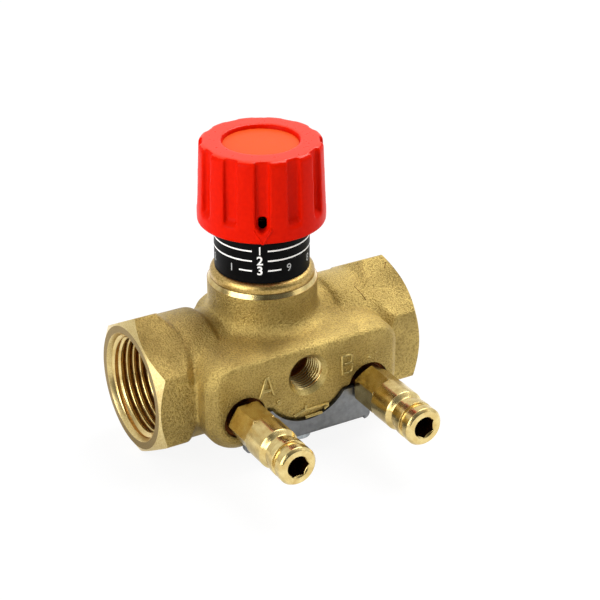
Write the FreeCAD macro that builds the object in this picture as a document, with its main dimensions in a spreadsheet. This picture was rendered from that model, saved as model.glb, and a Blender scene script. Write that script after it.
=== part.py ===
import FreeCAD, Part
import Sketcher
import math
import os
from FreeCAD import Placement, Rotation, Vector
from types import SimpleNamespace

# Balancing valve with a presetting handwheel and two test nipples.
# Millimetres. The origin is the mouth centre of the left port, +X runs along the pipe to the
# right port, +Z up the stem to the handwheel, and -Y out of the boss that carries the nipples.

os.makedirs("parts", exist_ok=True)
document = FreeCAD.newDocument("balancing_valve")

SIZES = {
    # pipe ends
    "face_to_face": 75.0,
    "hex_flats": 32.6,
    "hex_reach": 10.9,
    "hex_corner_reach": 6.9,
    "end_face_radius": 15.8,
    "end_chamfer_slope": 0.64,
    "barrel_radius": 16.1,
    "waist_radius": 14.8,
    "port_thread_radius": 13.22,
    "port_thread_depth": 14.5,
    "port_mouth_radius": 14.0,
    "channel_radius": 9.5,
    "channel_wall": 3.0,
    # stem neck and seat
    "drum_radius": 17.4,
    "drum_top": 12.3,
    "drum_bottom": 11.6,
    "neck_radius": 13.9,
    "neck_height": 22.8,
    "neck_rim_radius": 13.25,
    "neck_rim_height": 1.1,
    "flare_radius": 3.3,
    "head_thread_radius": 11.3,
    "chamber_radius": 10.4,
    "seat_radius": 7.5,
    "seat_ring_width": 1.5,
    "seat_height": 1.0,
    "bridge_thickness": 3.5,
    # boss
    "boss_face": 23.0,
    "boss_bevel": 2.7,
    "boss_lobe": 7.2,
    "boss_spread": 2.5,
    "boss_top": 11.7,
    "boss_corner": 4.6,
    "boss_edge_round": 1.2,
    "nipple_spacing": 35.2,
    "nipple_drop": 2.9,
    "drain_rise": 4.2,
    "drain_boss_radius": 12.0,
    "drain_thread_radius": 4.86,
    "drain_mouth_radius": 5.5,
    "drain_depth": 9.5,
    "drain_passage_radius": 1.6,
    "plate_recess": 1.2,
    # head insert
    "insert_foot": 15.0,
    "collar_radius": 13.2,
    "collar_height": 2.5,
    "collar_round": 1.7,
    "insert_tube_radius": 9.4,
    "insert_drop": 1.0,
    "stem_thread_radius": 7.0,
    "stem_thread_clearance": 0.3,
    "head_ring_thickness": 1.6,
    "stem_ring_thickness": 1.9,
    "guide_land": 1.0,
    "stem_ring_spacing": 1.27,
    "stop_ring_thickness": 0.8,
    "stop_ring_inset": 0.5,
    "stop_ring_depth": 0.7,
    "stop_ring_slot": 2.0,
    # scale
    "scale_wall": 2.49,
    "scale_overlap": 3.3,
    # handwheel
    "wheel_band": 3.6,
    "wheel_taper": 0.7,
    "wheel_height": 20.9,
    "wheel_round": 1.3,
    "wheel_wall": 1.6,
    "flute_count": 12,
    "flute_width": 3.4,
    "flute_depth": 1.7,
    "skirt_clearance": 0.76,
    "wheel_web": 2.6,
    "hub_clearance": 0.52,
    "hub_radius": 7.2,
    "dial_radius": 9.4,
    "dial_depth": 1.6,
    "cap_inset": 1.1,
    "cap_rise": 0.25,
    "lock_slot_width": 2.1,
    "lock_slot_foot": 3.1,
    "lock_slot_height": 3.4,
    "pointer_width": 4.2,
    "pointer_height": 4.2,
    "pointer_rise": 0.35,
    "wheel_turn": 28.0,
    # spindle, cone and travel
    "turns": 3.2,
    "turn_rise": 2.65,
    "stem_radius": 5.0,
    "stem_end_radius": 4.0,
    "stem_bore_radius": 3.4,
    "drive_length": 5.4,
    "drive_flats": 8.8,
    "stem_thread_length": 5.0,
    "knob_screw_head_radius": 4.6,
    "knob_screw_head_height": 1.7,
    "knob_screw_length": 5.6,
    "cone_radius": 9.0,
    "cone_thickness": 2.2,
    "seal_thickness": 1.5,
    "seal_bore_radius": 5.3,
    "cone_nut_flats": 12.4,
    "cone_nut_height": 1.8,
    "cone_hub_radius": 5.8,
    "cone_hub_height": 1.2,
    "clip_thickness": 0.8,
    "clip_radius": 5.2,
    "setting_clip_bore_radius": 2.3,
    "setting_clip_slot": 1.6,
    # presetting spindle
    "preset_drop": 1.0,
    "preset_head_length": 2.3,
    "preset_rod_radius": 1.3,
    "preset_key_flats": 3.0,
    "preset_key_depth": 1.6,
    "stop_bar_width": 3.0,
    "stop_bar_height": 2.0,
    "stop_bar_reach": 6.3,
    "stop_play": 0.4,
    # test nipples
    "nipple_thread_radius": 4.8,
    "nipple_thread_length": 9.2,
    "nipple_lock_radius": 3.9,
    "nipple_neck_radius": 4.5,
    "nipple_neck_length": 0.5,
    "nipple_hex_flats": 9.4,
    "nipple_hex_end": 32.5,
    "nipple_barrel_radius": 5.3,
    "nipple_barrel_end": 39.2,
    "nipple_groove_radius": 4.3,
    "nipple_ring_radius": 5.0,
    "nipple_tip": 48.6,
    "nipple_socket_flats": 5.0,
    "nipple_socket_depth": 6.0,
    "nipple_bore_radius": 2.0,
    "poppet_chamber_radius": 2.9,
    "poppet_seat": 36.0,
    "poppet_head_length": 2.0,
    "poppet_tail_length": 5.0,
    "poppet_stem_radius": 1.5,
    "poppet_stem_end": 41.0,
    "spring_radius": 2.2,
    "spring_wire_radius": 0.25,
    "spring_turns": 5.0,
    "bush_length": 3.0,
    "bush_bore_radius": 1.2,
    "nipple_ring_slot": 1.2,
    "spotface_radius": 5.6,
    # locking plate and its screw
    "plate_thickness": 1.4,
    "plate_margin": 0.4,
    "plate_corner": 1.6,
    "plate_bend": 1.3,
    "plate_leg": 9.2,
    "screw_radius": 2.0,
    "screw_head_radius": 3.0,
    "screw_head_height": 2.1,
    "screw_length": 7.0,
    "screw_inset": 4.7,
    # fits
    "running_gap": 0.08,
    "seat_gap": 0.05,
    "plate_gap": 0.5,
}

sheet = document.addObject("Spreadsheet::Sheet", "Sizes")
for row, (alias, number) in enumerate(SIZES.items(), start=1):
    sheet.set("A%d" % row, alias)
    sheet.set("B%d" % row, str(number))
    sheet.setAlias("B%d" % row, alias)
document.recompute()


class Size:
    """A number together with the sheet expression that gives it."""

    def __init__(self, value, text):
        self.value = value
        self.text = text

    def __add__(self, other):
        other = as_size(other)
        return Size(self.value + other.value, "(%s + %s)" % (self.text, other.text))

    def __radd__(self, other):
        return as_size(other) + self

    def __sub__(self, other):
        other = as_size(other)
        return Size(self.value - other.value, "(%s - %s)" % (self.text, other.text))

    def __rsub__(self, other):
        return as_size(other) - self

    def __mul__(self, other):
        other = as_size(other)
        return Size(self.value * other.value, "(%s * %s)" % (self.text, other.text))

    __rmul__ = __mul__

    def __truediv__(self, other):
        other = as_size(other)
        return Size(self.value / other.value, "(%s / %s)" % (self.text, other.text))

    def __neg__(self):
        return Size(-self.value, "(0 - %s)" % self.text)


def as_size(thing):
    return thing if isinstance(thing, Size) else Size(float(thing), repr(float(thing)))


def root(thing):
    return Size(math.sqrt(thing.value), "sqrt(%s)" % thing.text)


s = SimpleNamespace(**{alias: Size(float(number), "Sizes." + alias) for alias, number in SIZES.items()})


def bind(thing, path, size):
    thing.setExpression(path, as_size(size).text)


def bind_place(thing, place, prefix="Placement"):
    for letter, size in zip("xyz", place):
        bind(thing, "%s.Base.%s" % (prefix, letter), size)


def vector(place):
    return Vector(*[as_size(size).value for size in place])


AXES = {
    "x": Rotation(Vector(0, 0, 1), Vector(1, 0, 0)),
    "-x": Rotation(Vector(0, 0, 1), Vector(-1, 0, 0)),
    "-y": Rotation(Vector(0, 0, 1), Vector(0, -1, 0)),
    "z": Rotation(),
}


def primitive(kind, name, place, axis, **sizes):
    """A Part primitive at a place, with its own Z turned to the named axis and every size bound."""
    thing = document.addObject("Part::" + kind, name)
    thing.Placement = Placement(vector(place), AXES[axis])
    bind_place(thing, place)
    for key, size in sizes.items():
        setattr(thing, key, as_size(size).value)
        bind(thing, key, size)
    return thing


def cylinder(name, place, axis, radius, height):
    return primitive("Cylinder", name, place, axis, Radius=radius, Height=height)


def cone(name, place, axis, radius1, radius2, height):
    return primitive("Cone", name, place, axis, Radius1=radius1, Radius2=radius2, Height=height)


def box(name, low, high):
    length, width, height = [as_size(b) - as_size(a) for a, b in zip(low, high)]
    return primitive("Box", name, low, "z", Length=length, Width=width, Height=height)


def torus(name, place, axis, radius, thickness):
    return primitive("Torus", name, place, axis, Radius1=radius, Radius2=thickness / 2)


def hexagon(name, place, axis, flats, height, spin=0.0):
    """A hexagonal prism along the axis, turned about it by spin degrees."""
    thing = document.addObject("Part::Prism", name)
    thing.Polygon = 6
    thing.Placement = Placement(vector(place), AXES[axis] * Rotation(Vector(0, 0, 1), spin))
    bind_place(thing, place)
    bind(thing, "Circumradius", flats / math.sqrt(3.0))
    bind(thing, "Height", height)
    return thing


def fuse(name, *things):
    thing = document.addObject("Part::MultiFuse", name)
    thing.Shapes = list(things)
    return thing


def common(name, first, second):
    thing = document.addObject("Part::MultiCommon", name)
    thing.Shapes = [first, second]
    return thing


def cut(name, base, tool):
    thing = document.addObject("Part::Cut", name)
    thing.Base = base
    thing.Tool = tool
    return thing


def label(thing, node):
    thing.Label = node
    nodes.append(thing)
    return thing


nodes = []


def new_body(name, place=(0, 0, 0), rotation=None):
    body = document.addObject("PartDesign::Body", name)
    body.Placement = Placement(vector(place), rotation or Rotation())
    bind_place(body, place)
    return body


def plane(body, role):
    return next(item for item in body.Origin.OriginFeatures if item.Role == role)


def arc_between(start, end, radius, left):
    """The short arc from start to end, with its centre on the left or right of the way."""
    middle = (start + end) * 0.5
    way = end - start
    half = way.Length / 2
    side = Vector(-way.y, way.x, 0).normalize() * math.sqrt(max(radius * radius - half * half, 0.0))
    centre = middle + side if left else middle - side
    first, last = (start, end) if left else (end, start)
    angles = [math.atan2(p.y - centre.y, p.x - centre.x) for p in (first, last)]
    if angles[1] < angles[0]:
        angles[1] += 2 * math.pi
    return Part.ArcOfCircle(Part.Circle(centre, Vector(0, 0, 1), radius), *angles)


def outline(body, name, role, corners, offset=None):
    """A closed sketch. A corner is (x, y) or (x, y, radius, side): then an arc leads to the next."""
    sketch = body.newObject("Sketcher::SketchObject", name)
    sketch.AttachmentSupport = (plane(body, role), [""])
    sketch.MapMode = "FlatFace"
    if offset is not None:
        bind(sketch, "AttachmentOffset.Base.z", offset)
    points = [Vector(as_size(c[0]).value, as_size(c[1]).value, 0) for c in corners]
    count = len(corners)
    starts = []
    ends = []
    for index, corner in enumerate(corners):
        here, there = points[index], points[(index + 1) % count]
        if len(corner) == 2:
            sketch.addGeometry(Part.LineSegment(here, there), False)
            starts.append(1)
            ends.append(2)
        else:
            left = corner[3] == "left"
            sketch.addGeometry(arc_between(here, there, as_size(corner[2]).value, left), False)
            starts.append(1 if left else 2)
            ends.append(2 if left else 1)
    for index, corner in enumerate(corners):
        after = (index + 1) % count
        sketch.addConstraint(Sketcher.Constraint("Coincident", index, ends[index], after, starts[after]))
        for kind, axis, size in (("DistanceX", -2, corner[0]), ("DistanceY", -1, corner[1])):
            if isinstance(size, (int, float)) and size == 0:
                sketch.addConstraint(Sketcher.Constraint("PointOnObject", index, starts[index], axis))
                continue
            size = as_size(size)
            rule = Sketcher.Constraint(kind, index, starts[index], size.value)
            bind(sketch, "Constraints[%d]" % sketch.addConstraint(rule), size)
        if len(corner) > 2:
            rule = Sketcher.Constraint("Radius", index, as_size(corner[2]).value)
            bind(sketch, "Constraints[%d]" % sketch.addConstraint(rule), corner[2])
    return sketch


def circle_sketch(body, name, role, x, y, radius, offset=None):
    sketch = body.newObject("Sketcher::SketchObject", name)
    sketch.AttachmentSupport = (plane(body, role), [""])
    sketch.MapMode = "FlatFace"
    if offset is not None:
        bind(sketch, "AttachmentOffset.Base.z", offset)
    centre = Vector(as_size(x).value, as_size(y).value, 0)
    sketch.addGeometry(Part.Circle(centre, Vector(0, 0, 1), as_size(radius).value), False)
    for kind, axis, size in (("DistanceX", -2, x), ("DistanceY", -1, y)):
        if isinstance(size, (int, float)) and size == 0:
            sketch.addConstraint(Sketcher.Constraint("PointOnObject", 0, 3, axis))
            continue
        rule = Sketcher.Constraint(kind, 0, 3, as_size(size).value)
        bind(sketch, "Constraints[%d]" % sketch.addConstraint(rule), size)
    rule = Sketcher.Constraint("Radius", 0, as_size(radius).value)
    bind(sketch, "Constraints[%d]" % sketch.addConstraint(rule), radius)
    return sketch


def revolve(body, name, corners, groove=False):
    """Turns a profile of (radius, height) corners about the body's own Z axis."""
    sketch = outline(body, name + "_profile", "XZ_Plane", corners)
    kind = "PartDesign::Groove" if groove else "PartDesign::Revolution"
    feature = body.newObject(kind, name)
    feature.Profile = (sketch, [""])
    feature.ReferenceAxis = (sketch, ["V_Axis"])
    feature.Angle = 360.0
    document.recompute()
    return feature


def extrude(body, name, sketch, length, pocket=False, midplane=False, backwards=False):
    feature = body.newObject("PartDesign::Pocket" if pocket else "PartDesign::Pad", name)
    feature.Profile = (sketch, [""])
    bind(feature, "Length", length)
    feature.Midplane = midplane
    feature.Reversed = backwards
    document.recompute()
    return feature


def rims(shape, radius, height=None, tolerance=1e-3):
    """Names of the circular edges about Z with this radius, at this height if one is given."""
    found = []
    for index, edge in enumerate(shape.Edges, start=1):
        curve = edge.Curve
        if not isinstance(curve, Part.Circle) or abs(curve.Radius - radius.value) > tolerance:
            continue
        if height is None or abs(curve.Center.z - height.value) < tolerance:
            found.append("Edge%d" % index)
    return found


def dress(body, kind, name, edges, size):
    """A fillet or chamfer on the newest feature of a body."""
    base = body.Tip
    feature = body.newObject("PartDesign::" + kind, name)
    feature.Base = (base, edges)
    bind(feature, "Radius" if kind == "Fillet" else "Size", size)
    document.recompute()
    return feature


def ring_around(count, body, feature, name):
    pattern = body.newObject("PartDesign::PolarPattern", name)
    pattern.Originals = [feature]
    pattern.Axis = (plane(body, "Z_Axis"), [""])
    pattern.Angle = 360.0
    pattern.Occurrences = int(round(count.value))
    body.Tip = pattern
    document.recompute()
    return pattern


# Places that follow from other sizes
mid = s.face_to_face / 2
half_spacing = s.nipple_spacing / 2
lift = s.turns * s.turn_rise
lower_groove = s.insert_foot + s.guide_land
upper_groove = lower_groove + s.stem_ring_thickness + s.stem_ring_spacing
s.stem_thread_start = upper_groove + s.stem_ring_thickness + s.guide_land
thread_foot = s.stem_thread_start + lift + s.stem_thread_clearance
thread_top = thread_foot + s.stem_thread_length
stop_bar_foot = thread_top + s.stop_play
stop_ring_foot = stop_bar_foot + s.stop_bar_height + s.stop_play
stop_groove_foot = stop_ring_foot - s.seat_gap
stop_groove_top = stop_ring_foot + s.stop_ring_thickness + s.seat_gap
s.insert_top = stop_groove_top + s.stop_ring_inset
s.scale_top = s.insert_top + s.insert_drop
s.wheel_foot = s.scale_top - s.scale_overlap
s.wheel_top = s.wheel_foot + s.wheel_height
s.hub_foot = s.insert_top + lift + s.hub_clearance
s.stem_top = s.hub_foot + s.drive_length
s.preset_seat = s.hub_foot - s.preset_drop
s.scale_radius = s.insert_tube_radius + s.seat_gap + s.scale_wall
skirt_bore = s.scale_radius + s.skirt_clearance
s.flute_floor_radius = skirt_bore + s.wheel_wall
s.wheel_radius = s.flute_floor_radius + s.flute_depth
s.wheel_shoulder_radius = s.wheel_radius - s.wheel_taper
s.boss_half_width = half_spacing + s.boss_lobe
s.plate_half_width = half_spacing + s.plate_margin
s.plate_leg_half_width = s.plate_half_width - s.plate_corner
nipple_height = -s.nipple_drop
corner_radius = s.hex_flats / math.sqrt(3.0)


# Valve body: barrels, hexagon ends, vertical drum with the neck, and the front boss, then its bores
def end_hexagon(side, start, axis):
    """One hexagon end with its turned front chamfer and the sloping shoulder behind it."""
    envelope_radius = corner_radius + 0.4
    front = (envelope_radius - s.end_face_radius) * s.end_chamfer_slope
    prism = hexagon("hexagon_" + side, (start, 0, 0), axis, s.hex_flats, s.hex_reach)
    sign = 1 if axis == "x" else -1
    nose = cone("nose_" + side, (start, 0, 0), axis, s.end_face_radius, envelope_radius, front)
    ring = cylinder("belt_" + side, (start + sign * front, 0, 0), axis, envelope_radius,
                    s.hex_corner_reach - front)
    shoulder = cone("shoulder_" + side, (start + sign * s.hex_corner_reach, 0, 0), axis,
                    envelope_radius, s.barrel_radius, s.hex_reach - s.hex_corner_reach)
    envelope = fuse("envelope_" + side, nose, ring, shoulder)
    return common("end_" + side, prism, envelope)


def make_barrel(side, start, axis):
    """A round barrel from just behind the end face to the drum, its inner edge rounded."""
    sign = 1 if axis == "x" else -1
    setback = s.port_mouth_radius * 0.1
    length = mid - s.drum_radius - setback
    barrel = cylinder("barrel_" + side, (start + sign * setback, 0, 0), axis, s.barrel_radius, length)
    document.recompute()
    inner = [i for i, edge in enumerate(barrel.Shape.Edges, start=1)
             if abs(edge.CenterOfMass.x - (mid - sign * s.drum_radius).value) < 1e-3
             and isinstance(edge.Curve, Part.Circle)]
    rounded = document.addObject("Part::Fillet", "rounded_barrel_" + side)
    rounded.Base = barrel
    rounded.Edges = [(index, 1.0, 1.0) for index in inner]
    return rounded


stem_block = new_body("stem_block", (mid, 0, 0))
revolve(stem_block, "stem_shape", [
    (0, -s.drum_bottom),
    (s.drum_radius, -s.drum_bottom),
    (s.drum_radius, s.drum_top),
    (s.neck_radius, s.drum_top),
    (s.neck_radius, s.neck_height - s.neck_rim_height),
    (s.neck_rim_radius, s.neck_height),
    (0, s.neck_height),
])
dress(stem_block, "Fillet", "flare", rims(stem_block.Shape, s.neck_radius, s.drum_top), s.flare_radius)
dress(stem_block, "Fillet", "drum_edge", rims(stem_block.Shape, s.drum_radius, -s.drum_bottom), 2.5)

boss_body = new_body("boss_shape")


def boss_outline(name, spread, top_drop, offset):
    """A rounded rectangle whose lower corners are concentric with the two nipples."""
    half = s.boss_half_width + spread
    top = s.boss_top + top_drop
    lobe = half - half_spacing
    low = nipple_height - lobe
    corner = s.boss_corner + spread
    left, right = mid - half, mid + half
    return outline(boss_body, name, "XZ_Plane", [
        (mid - half_spacing, low),
        (mid + half_spacing, low, lobe, "left"),
        (right, nipple_height),
        (right, top - corner, corner, "left"),
        (right - corner, top),
        (left + corner, top, corner, "left"),
        (left, top - corner),
        (left, nipple_height, lobe, "left"),
    ], offset)


boss_root = boss_outline("boss_root", s.boss_spread, s.drum_top - s.boss_top, s.boss_face - s.boss_bevel)
boss_front = boss_outline("boss_front", as_size(0.0), as_size(0.0), s.boss_face)
extrude(boss_body, "boss_core", boss_root, s.boss_face - s.boss_bevel, backwards=True)
boss_loft = boss_body.newObject("PartDesign::AdditiveLoft", "boss_bevelled")
boss_loft.Profile = (boss_root, [""])
boss_loft.Sections = [(boss_front, [""])]
boss_loft.Ruled = True
document.recompute()
front_edges = ["Edge%d" % i for i, edge in enumerate(boss_body.Shape.Edges, start=1)
               if all(abs(v.Point.y + s.boss_face.value) < 1e-3 for v in edge.Vertexes)]
dress(boss_body, "Fillet", "boss_front_round", front_edges, s.boss_edge_round)

plate_seat = s.boss_face - s.plate_recess
below_all = -(s.drum_radius * 2)
recess_block = box("recess_block",
                   (mid - s.plate_half_width - s.plate_gap, -s.boss_face - 1.0, below_all),
                   (mid + s.plate_half_width + s.plate_gap, -plate_seat, nipple_height + s.plate_gap))
drain_stump = cylinder("drain_stump", (mid, 0, s.drain_rise), "-y", s.drain_boss_radius, s.boss_face + 2.0)
recess = cut("recess", recess_block, drain_stump)
under_cut = box("under_cut",
                (mid - s.plate_leg_half_width - s.plate_gap, -s.boss_face - 1.0, below_all),
                (mid + s.plate_leg_half_width + s.plate_gap, -s.drum_radius * 0.5, -s.drum_bottom))
boss_shape = cut("boss_trimmed", cut("boss_recessed", boss_body, recess), under_cut)

waist = cylinder("waist", (mid - s.drum_radius, 0, 0), "x", s.waist_radius, s.drum_radius * 2)
outer = fuse("casting_outside",
             end_hexagon("left", as_size(0.0), "x"), end_hexagon("right", s.face_to_face, "-x"),
             make_barrel("left", as_size(0.0), "x"), make_barrel("right", s.face_to_face, "-x"),
             waist, stem_block, boss_shape)


def port(side, start, axis):
    """A port's threaded length at its major diameter, its countersink and the channel behind."""
    sign = 1 if axis == "x" else -1
    bore = cylinder("port_" + side, (start, 0, 0), axis, s.port_thread_radius, s.port_thread_depth)
    sink = cone("sink_" + side, (start, 0, 0), axis, s.port_mouth_radius, s.port_thread_radius,
                s.port_mouth_radius - s.port_thread_radius)
    channel_length = mid - s.chamber_radius - s.channel_wall + 0.5
    channel = cylinder("channel_" + side, (start, 0, 0), axis, s.channel_radius, channel_length)
    return [bore, sink, channel]


# The flow passes below the bridge from the right port, up through the seat and out to the left
far = s.chamber_radius + s.channel_wall
under_bridge = common("under_bridge",
                      cylinder("under_round", (mid - s.seat_radius, 0, 0), "x", s.channel_radius,
                               s.seat_radius + far),
                      box("under_half", (mid - s.seat_radius, -s.channel_radius, -s.channel_radius),
                          (mid + far, s.channel_radius, -s.bridge_thickness)))
over_bridge = common("over_bridge",
                     cylinder("over_round", (mid - far, 0, 0), "x", s.channel_radius, far),
                     box("over_half", (mid - far, -s.channel_radius, 0.0),
                         (mid, s.channel_radius, s.channel_radius)))
chamber_blank = cylinder("chamber_blank", (mid, 0, 0), "z", s.chamber_radius, s.insert_foot)
seat_ring = cylinder("seat_ring", (mid, 0, -1.0), "z", s.seat_radius + s.seat_ring_width,
                     s.seat_height + 1.0)
chamber = cut("chamber", fuse("chamber_open", chamber_blank, over_bridge), seat_ring)
seat_bore = cylinder("seat_bore", (mid, 0, -s.bridge_thickness - 1.0), "z", s.seat_radius,
                     s.bridge_thickness + s.seat_height + 2.0)
head_bore = cylinder("head_bore", (mid, 0, s.insert_foot - 1.5), "z", s.head_thread_radius,
                     s.neck_height - s.insert_foot + 2.5)

drain_hole = cylinder("drain_hole", (mid, -s.boss_face + s.drain_depth, s.drain_rise), "-y",
                      s.drain_thread_radius, s.drain_depth + 1.0)
drain_sink = cone("drain_sink", (mid, -s.boss_face + (s.drain_mouth_radius - s.drain_thread_radius),
                                 s.drain_rise), "-y",
                  s.drain_thread_radius, s.drain_mouth_radius,
                  s.drain_mouth_radius - s.drain_thread_radius)
drain_passage = cylinder("drain_passage", (mid, -s.chamber_radius + 2.0, s.drain_rise), "-y",
                         s.drain_passage_radius, s.boss_face - s.chamber_radius)
screw_hole = cylinder("screw_hole", (mid, -s.boss_face + s.screw_inset, -s.drum_bottom - 1.0), "z",
                      s.screw_radius + s.running_gap, s.screw_length)

nipple_foot = plate_seat - s.nipple_thread_length


def nipple_bores(side, x):
    """The threaded hole, its spotface and the passage to the channel."""
    tap = cylinder("tap_" + side, (x, -nipple_foot, nipple_height), "-y",
                   s.nipple_thread_radius + s.seat_gap, s.nipple_thread_length + 3.0)
    spot = cylinder("spot_" + side, (x, -plate_seat, nipple_height), "-y", s.spotface_radius, 3.0)
    passage = cylinder("passage_" + side, (x, -s.channel_radius + 3.0, nipple_height), "-y",
                       s.nipple_bore_radius, nipple_foot - s.channel_radius + 4.0)
    return [tap, spot, passage]


bores = fuse("bores", *port("left", as_size(0.0), "x"), *port("right", s.face_to_face, "-x"),
             under_bridge, chamber, seat_bore, head_bore, drain_hole, drain_sink, drain_passage,
             screw_hole, *nipple_bores("a", mid - half_spacing), *nipple_bores("b", mid + half_spacing))
label(cut("casting", outer, bores), "valve_body")


# Head insert: screwed into the neck, with a rounded collar, a tube for the scale and the stem thread
ring_groove_depth = s.stem_ring_thickness
guide_radius = s.stem_radius + s.running_gap
collar_foot = s.neck_height + s.seat_gap
collar_top = collar_foot + s.collar_height
head_groove_top = s.neck_height - 1.2
head_groove_foot = head_groove_top - s.head_ring_thickness
insert_outer = s.head_thread_radius - s.running_gap
groove_floor = insert_outer - s.head_ring_thickness * 0.9

insert = new_body("insert", (mid, 0, 0))
revolve(insert, "insert_shape", [
    (guide_radius, s.insert_foot),
    (insert_outer - 0.8, s.insert_foot),
    (insert_outer, s.insert_foot + 0.8),
    (insert_outer, head_groove_foot),
    (groove_floor, head_groove_foot),
    (groove_floor, head_groove_top),
    (insert_outer, head_groove_top),
    (insert_outer, collar_foot),
    (s.collar_radius, collar_foot),
    (s.collar_radius, collar_top),
    (s.insert_tube_radius, collar_top),
    (s.insert_tube_radius, s.insert_top),
    (s.stem_thread_radius, s.insert_top),
    (s.stem_thread_radius, stop_groove_top),
    (s.stem_thread_radius + s.stop_ring_depth, stop_groove_top),
    (s.stem_thread_radius + s.stop_ring_depth, stop_groove_foot),
    (s.stem_thread_radius, stop_groove_foot),
    (s.stem_thread_radius, s.stem_thread_start),
    (guide_radius, s.stem_thread_start),
    (guide_radius, upper_groove + s.stem_ring_thickness),
    (guide_radius + ring_groove_depth, upper_groove + s.stem_ring_thickness),
    (guide_radius + ring_groove_depth, upper_groove),
    (guide_radius, upper_groove),
    (guide_radius, lower_groove + s.stem_ring_thickness),
    (guide_radius + ring_groove_depth, lower_groove + s.stem_ring_thickness),
    (guide_radius + ring_groove_depth, lower_groove),
    (guide_radius, lower_groove),
])
dress(insert, "Fillet", "collar_round_edge", rims(insert.Shape, s.collar_radius, collar_top),
      s.collar_round)
label(insert, "head_insert")

head_ring_thickness = s.head_ring_thickness * 0.9 - s.seat_gap
label(torus("head_ring", (mid, 0, head_groove_foot + s.head_ring_thickness / 2), "z",
            groove_floor + s.seat_gap / 2 + head_ring_thickness / 2, head_ring_thickness),
      "head_o_ring")
for ring_name, foot in (("stem_ring_lower", lower_groove), ("stem_ring_upper", upper_groove)):
    thickness = s.stem_ring_thickness - s.seat_gap
    centre_radius = guide_radius + s.seat_gap / 2 + thickness / 2
    label(torus(ring_name, (mid, 0, foot + s.stem_ring_thickness / 2), "z", centre_radius, thickness),
          "spindle_o_ring_" + ring_name.split("_")[-1])

# Scale ring: a plain sleeve over the insert's tube, standing on the collar
scale = new_body("scale", (mid, 0, 0))
scale_foot = collar_top + s.seat_gap
revolve(scale, "scale_shape", [
    (s.insert_tube_radius + s.seat_gap, scale_foot),
    (s.scale_radius, scale_foot),
    (s.scale_radius, s.scale_top - 0.5),
    (s.scale_radius - 0.5, s.scale_top),
    (s.insert_tube_radius + s.seat_gap, s.scale_top),
])
label(scale, "scale_ring")


# Handwheel: tapered cup with flutes that run out on a low band, a hub, a dial recess and a lock slot
wheel = new_body("wheel", (mid, 0, 0), Rotation(Vector(0, 0, 1), -s.wheel_turn.value))
bind(wheel, "Placement.Rotation.Angle", -s.wheel_turn)
band_top = s.wheel_foot + s.wheel_band
web_foot = s.wheel_top - s.dial_depth - s.wheel_web
screw_pocket_radius = s.knob_screw_head_radius + s.seat_gap
screw_pocket_floor = s.wheel_top - s.dial_depth - s.knob_screw_head_height
screw_way_radius = s.stem_bore_radius + s.seat_gap
revolve(wheel, "wheel_shape", [
    (screw_way_radius, s.hub_foot),
    (s.hub_radius, s.hub_foot),
    (s.hub_radius, web_foot),
    (skirt_bore, web_foot),
    (skirt_bore, s.wheel_foot),
    (s.wheel_radius - 0.4, s.wheel_foot),
    (s.wheel_radius, s.wheel_foot + 0.4),
    (s.wheel_radius, band_top),
    (s.wheel_shoulder_radius, s.wheel_top),
    (s.dial_radius + 0.4, s.wheel_top),
    (s.dial_radius, s.wheel_top - 0.4),
    (s.dial_radius, s.wheel_top - s.dial_depth),
    (screw_pocket_radius, s.wheel_top - s.dial_depth),
    (screw_pocket_radius, screw_pocket_floor),
    (screw_way_radius, screw_pocket_floor),
])
dress(wheel, "Fillet", "wheel_shoulder", rims(wheel.Shape, s.wheel_shoulder_radius, s.wheel_top),
      s.wheel_round)
flute_profile = outline(wheel, "flute_profile", "XZ_Plane", [
    (s.flute_floor_radius, band_top + (s.wheel_radius - s.flute_floor_radius)),
    (s.wheel_radius + 1.0, band_top - 1.0),
    (s.wheel_radius + 1.0, s.wheel_top + 1.0),
    (s.flute_floor_radius, s.wheel_top + 1.0),
])
flute = extrude(wheel, "flute", flute_profile, s.flute_width, pocket=True, midplane=True)
ring_around(s.flute_count, wheel, flute, "flutes")

# The pointer's nose and the lock slot sit in the flute that faces -Y
pointer_top = s.wheel_foot + s.pointer_height
pointer = outline(wheel, "pointer_profile", "XZ_Plane", [
    (0, s.wheel_foot),
    (s.pointer_width / 2, pointer_top),
    (-s.pointer_width / 2, pointer_top),
], s.wheel_radius - 1.0)
extrude(wheel, "pointer", pointer, s.pointer_rise + 1.0)
slot_foot = s.wheel_foot + s.lock_slot_foot
slot_radius = s.lock_slot_width / 2
slot = outline(wheel, "slot_profile", "XZ_Plane", [
    (-slot_radius, slot_foot + slot_radius, slot_radius * 1.0001, "left"),
    (slot_radius, slot_foot + slot_radius),
    (slot_radius, slot_foot + s.lock_slot_height),
    (-slot_radius, slot_foot + s.lock_slot_height),
], skirt_bore - 2.0)
extrude(wheel, "lock_slot", slot, s.wheel_wall + 6.0, pocket=True, backwards=True)


def hexagon_corners(flats, spin=0):
    """The six corners of a hexagon about the origin, the first one spin degrees from the X axis."""
    reach = flats / math.sqrt(3.0)
    turned = [math.radians(60 * k + spin) for k in range(6)]
    return [(reach * round(math.cos(a), 9), reach * round(math.sin(a), 9)) for a in turned]


socket = outline(wheel, "drive_socket_profile", "XY_Plane",
                 hexagon_corners(s.drive_flats + s.seat_gap * 2, s.wheel_turn.value),
                 s.stem_top + s.seat_gap)
extrude(wheel, "drive_socket", socket, s.stem_top - s.hub_foot + 2.0, pocket=True)
label(wheel, "knob")

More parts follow.
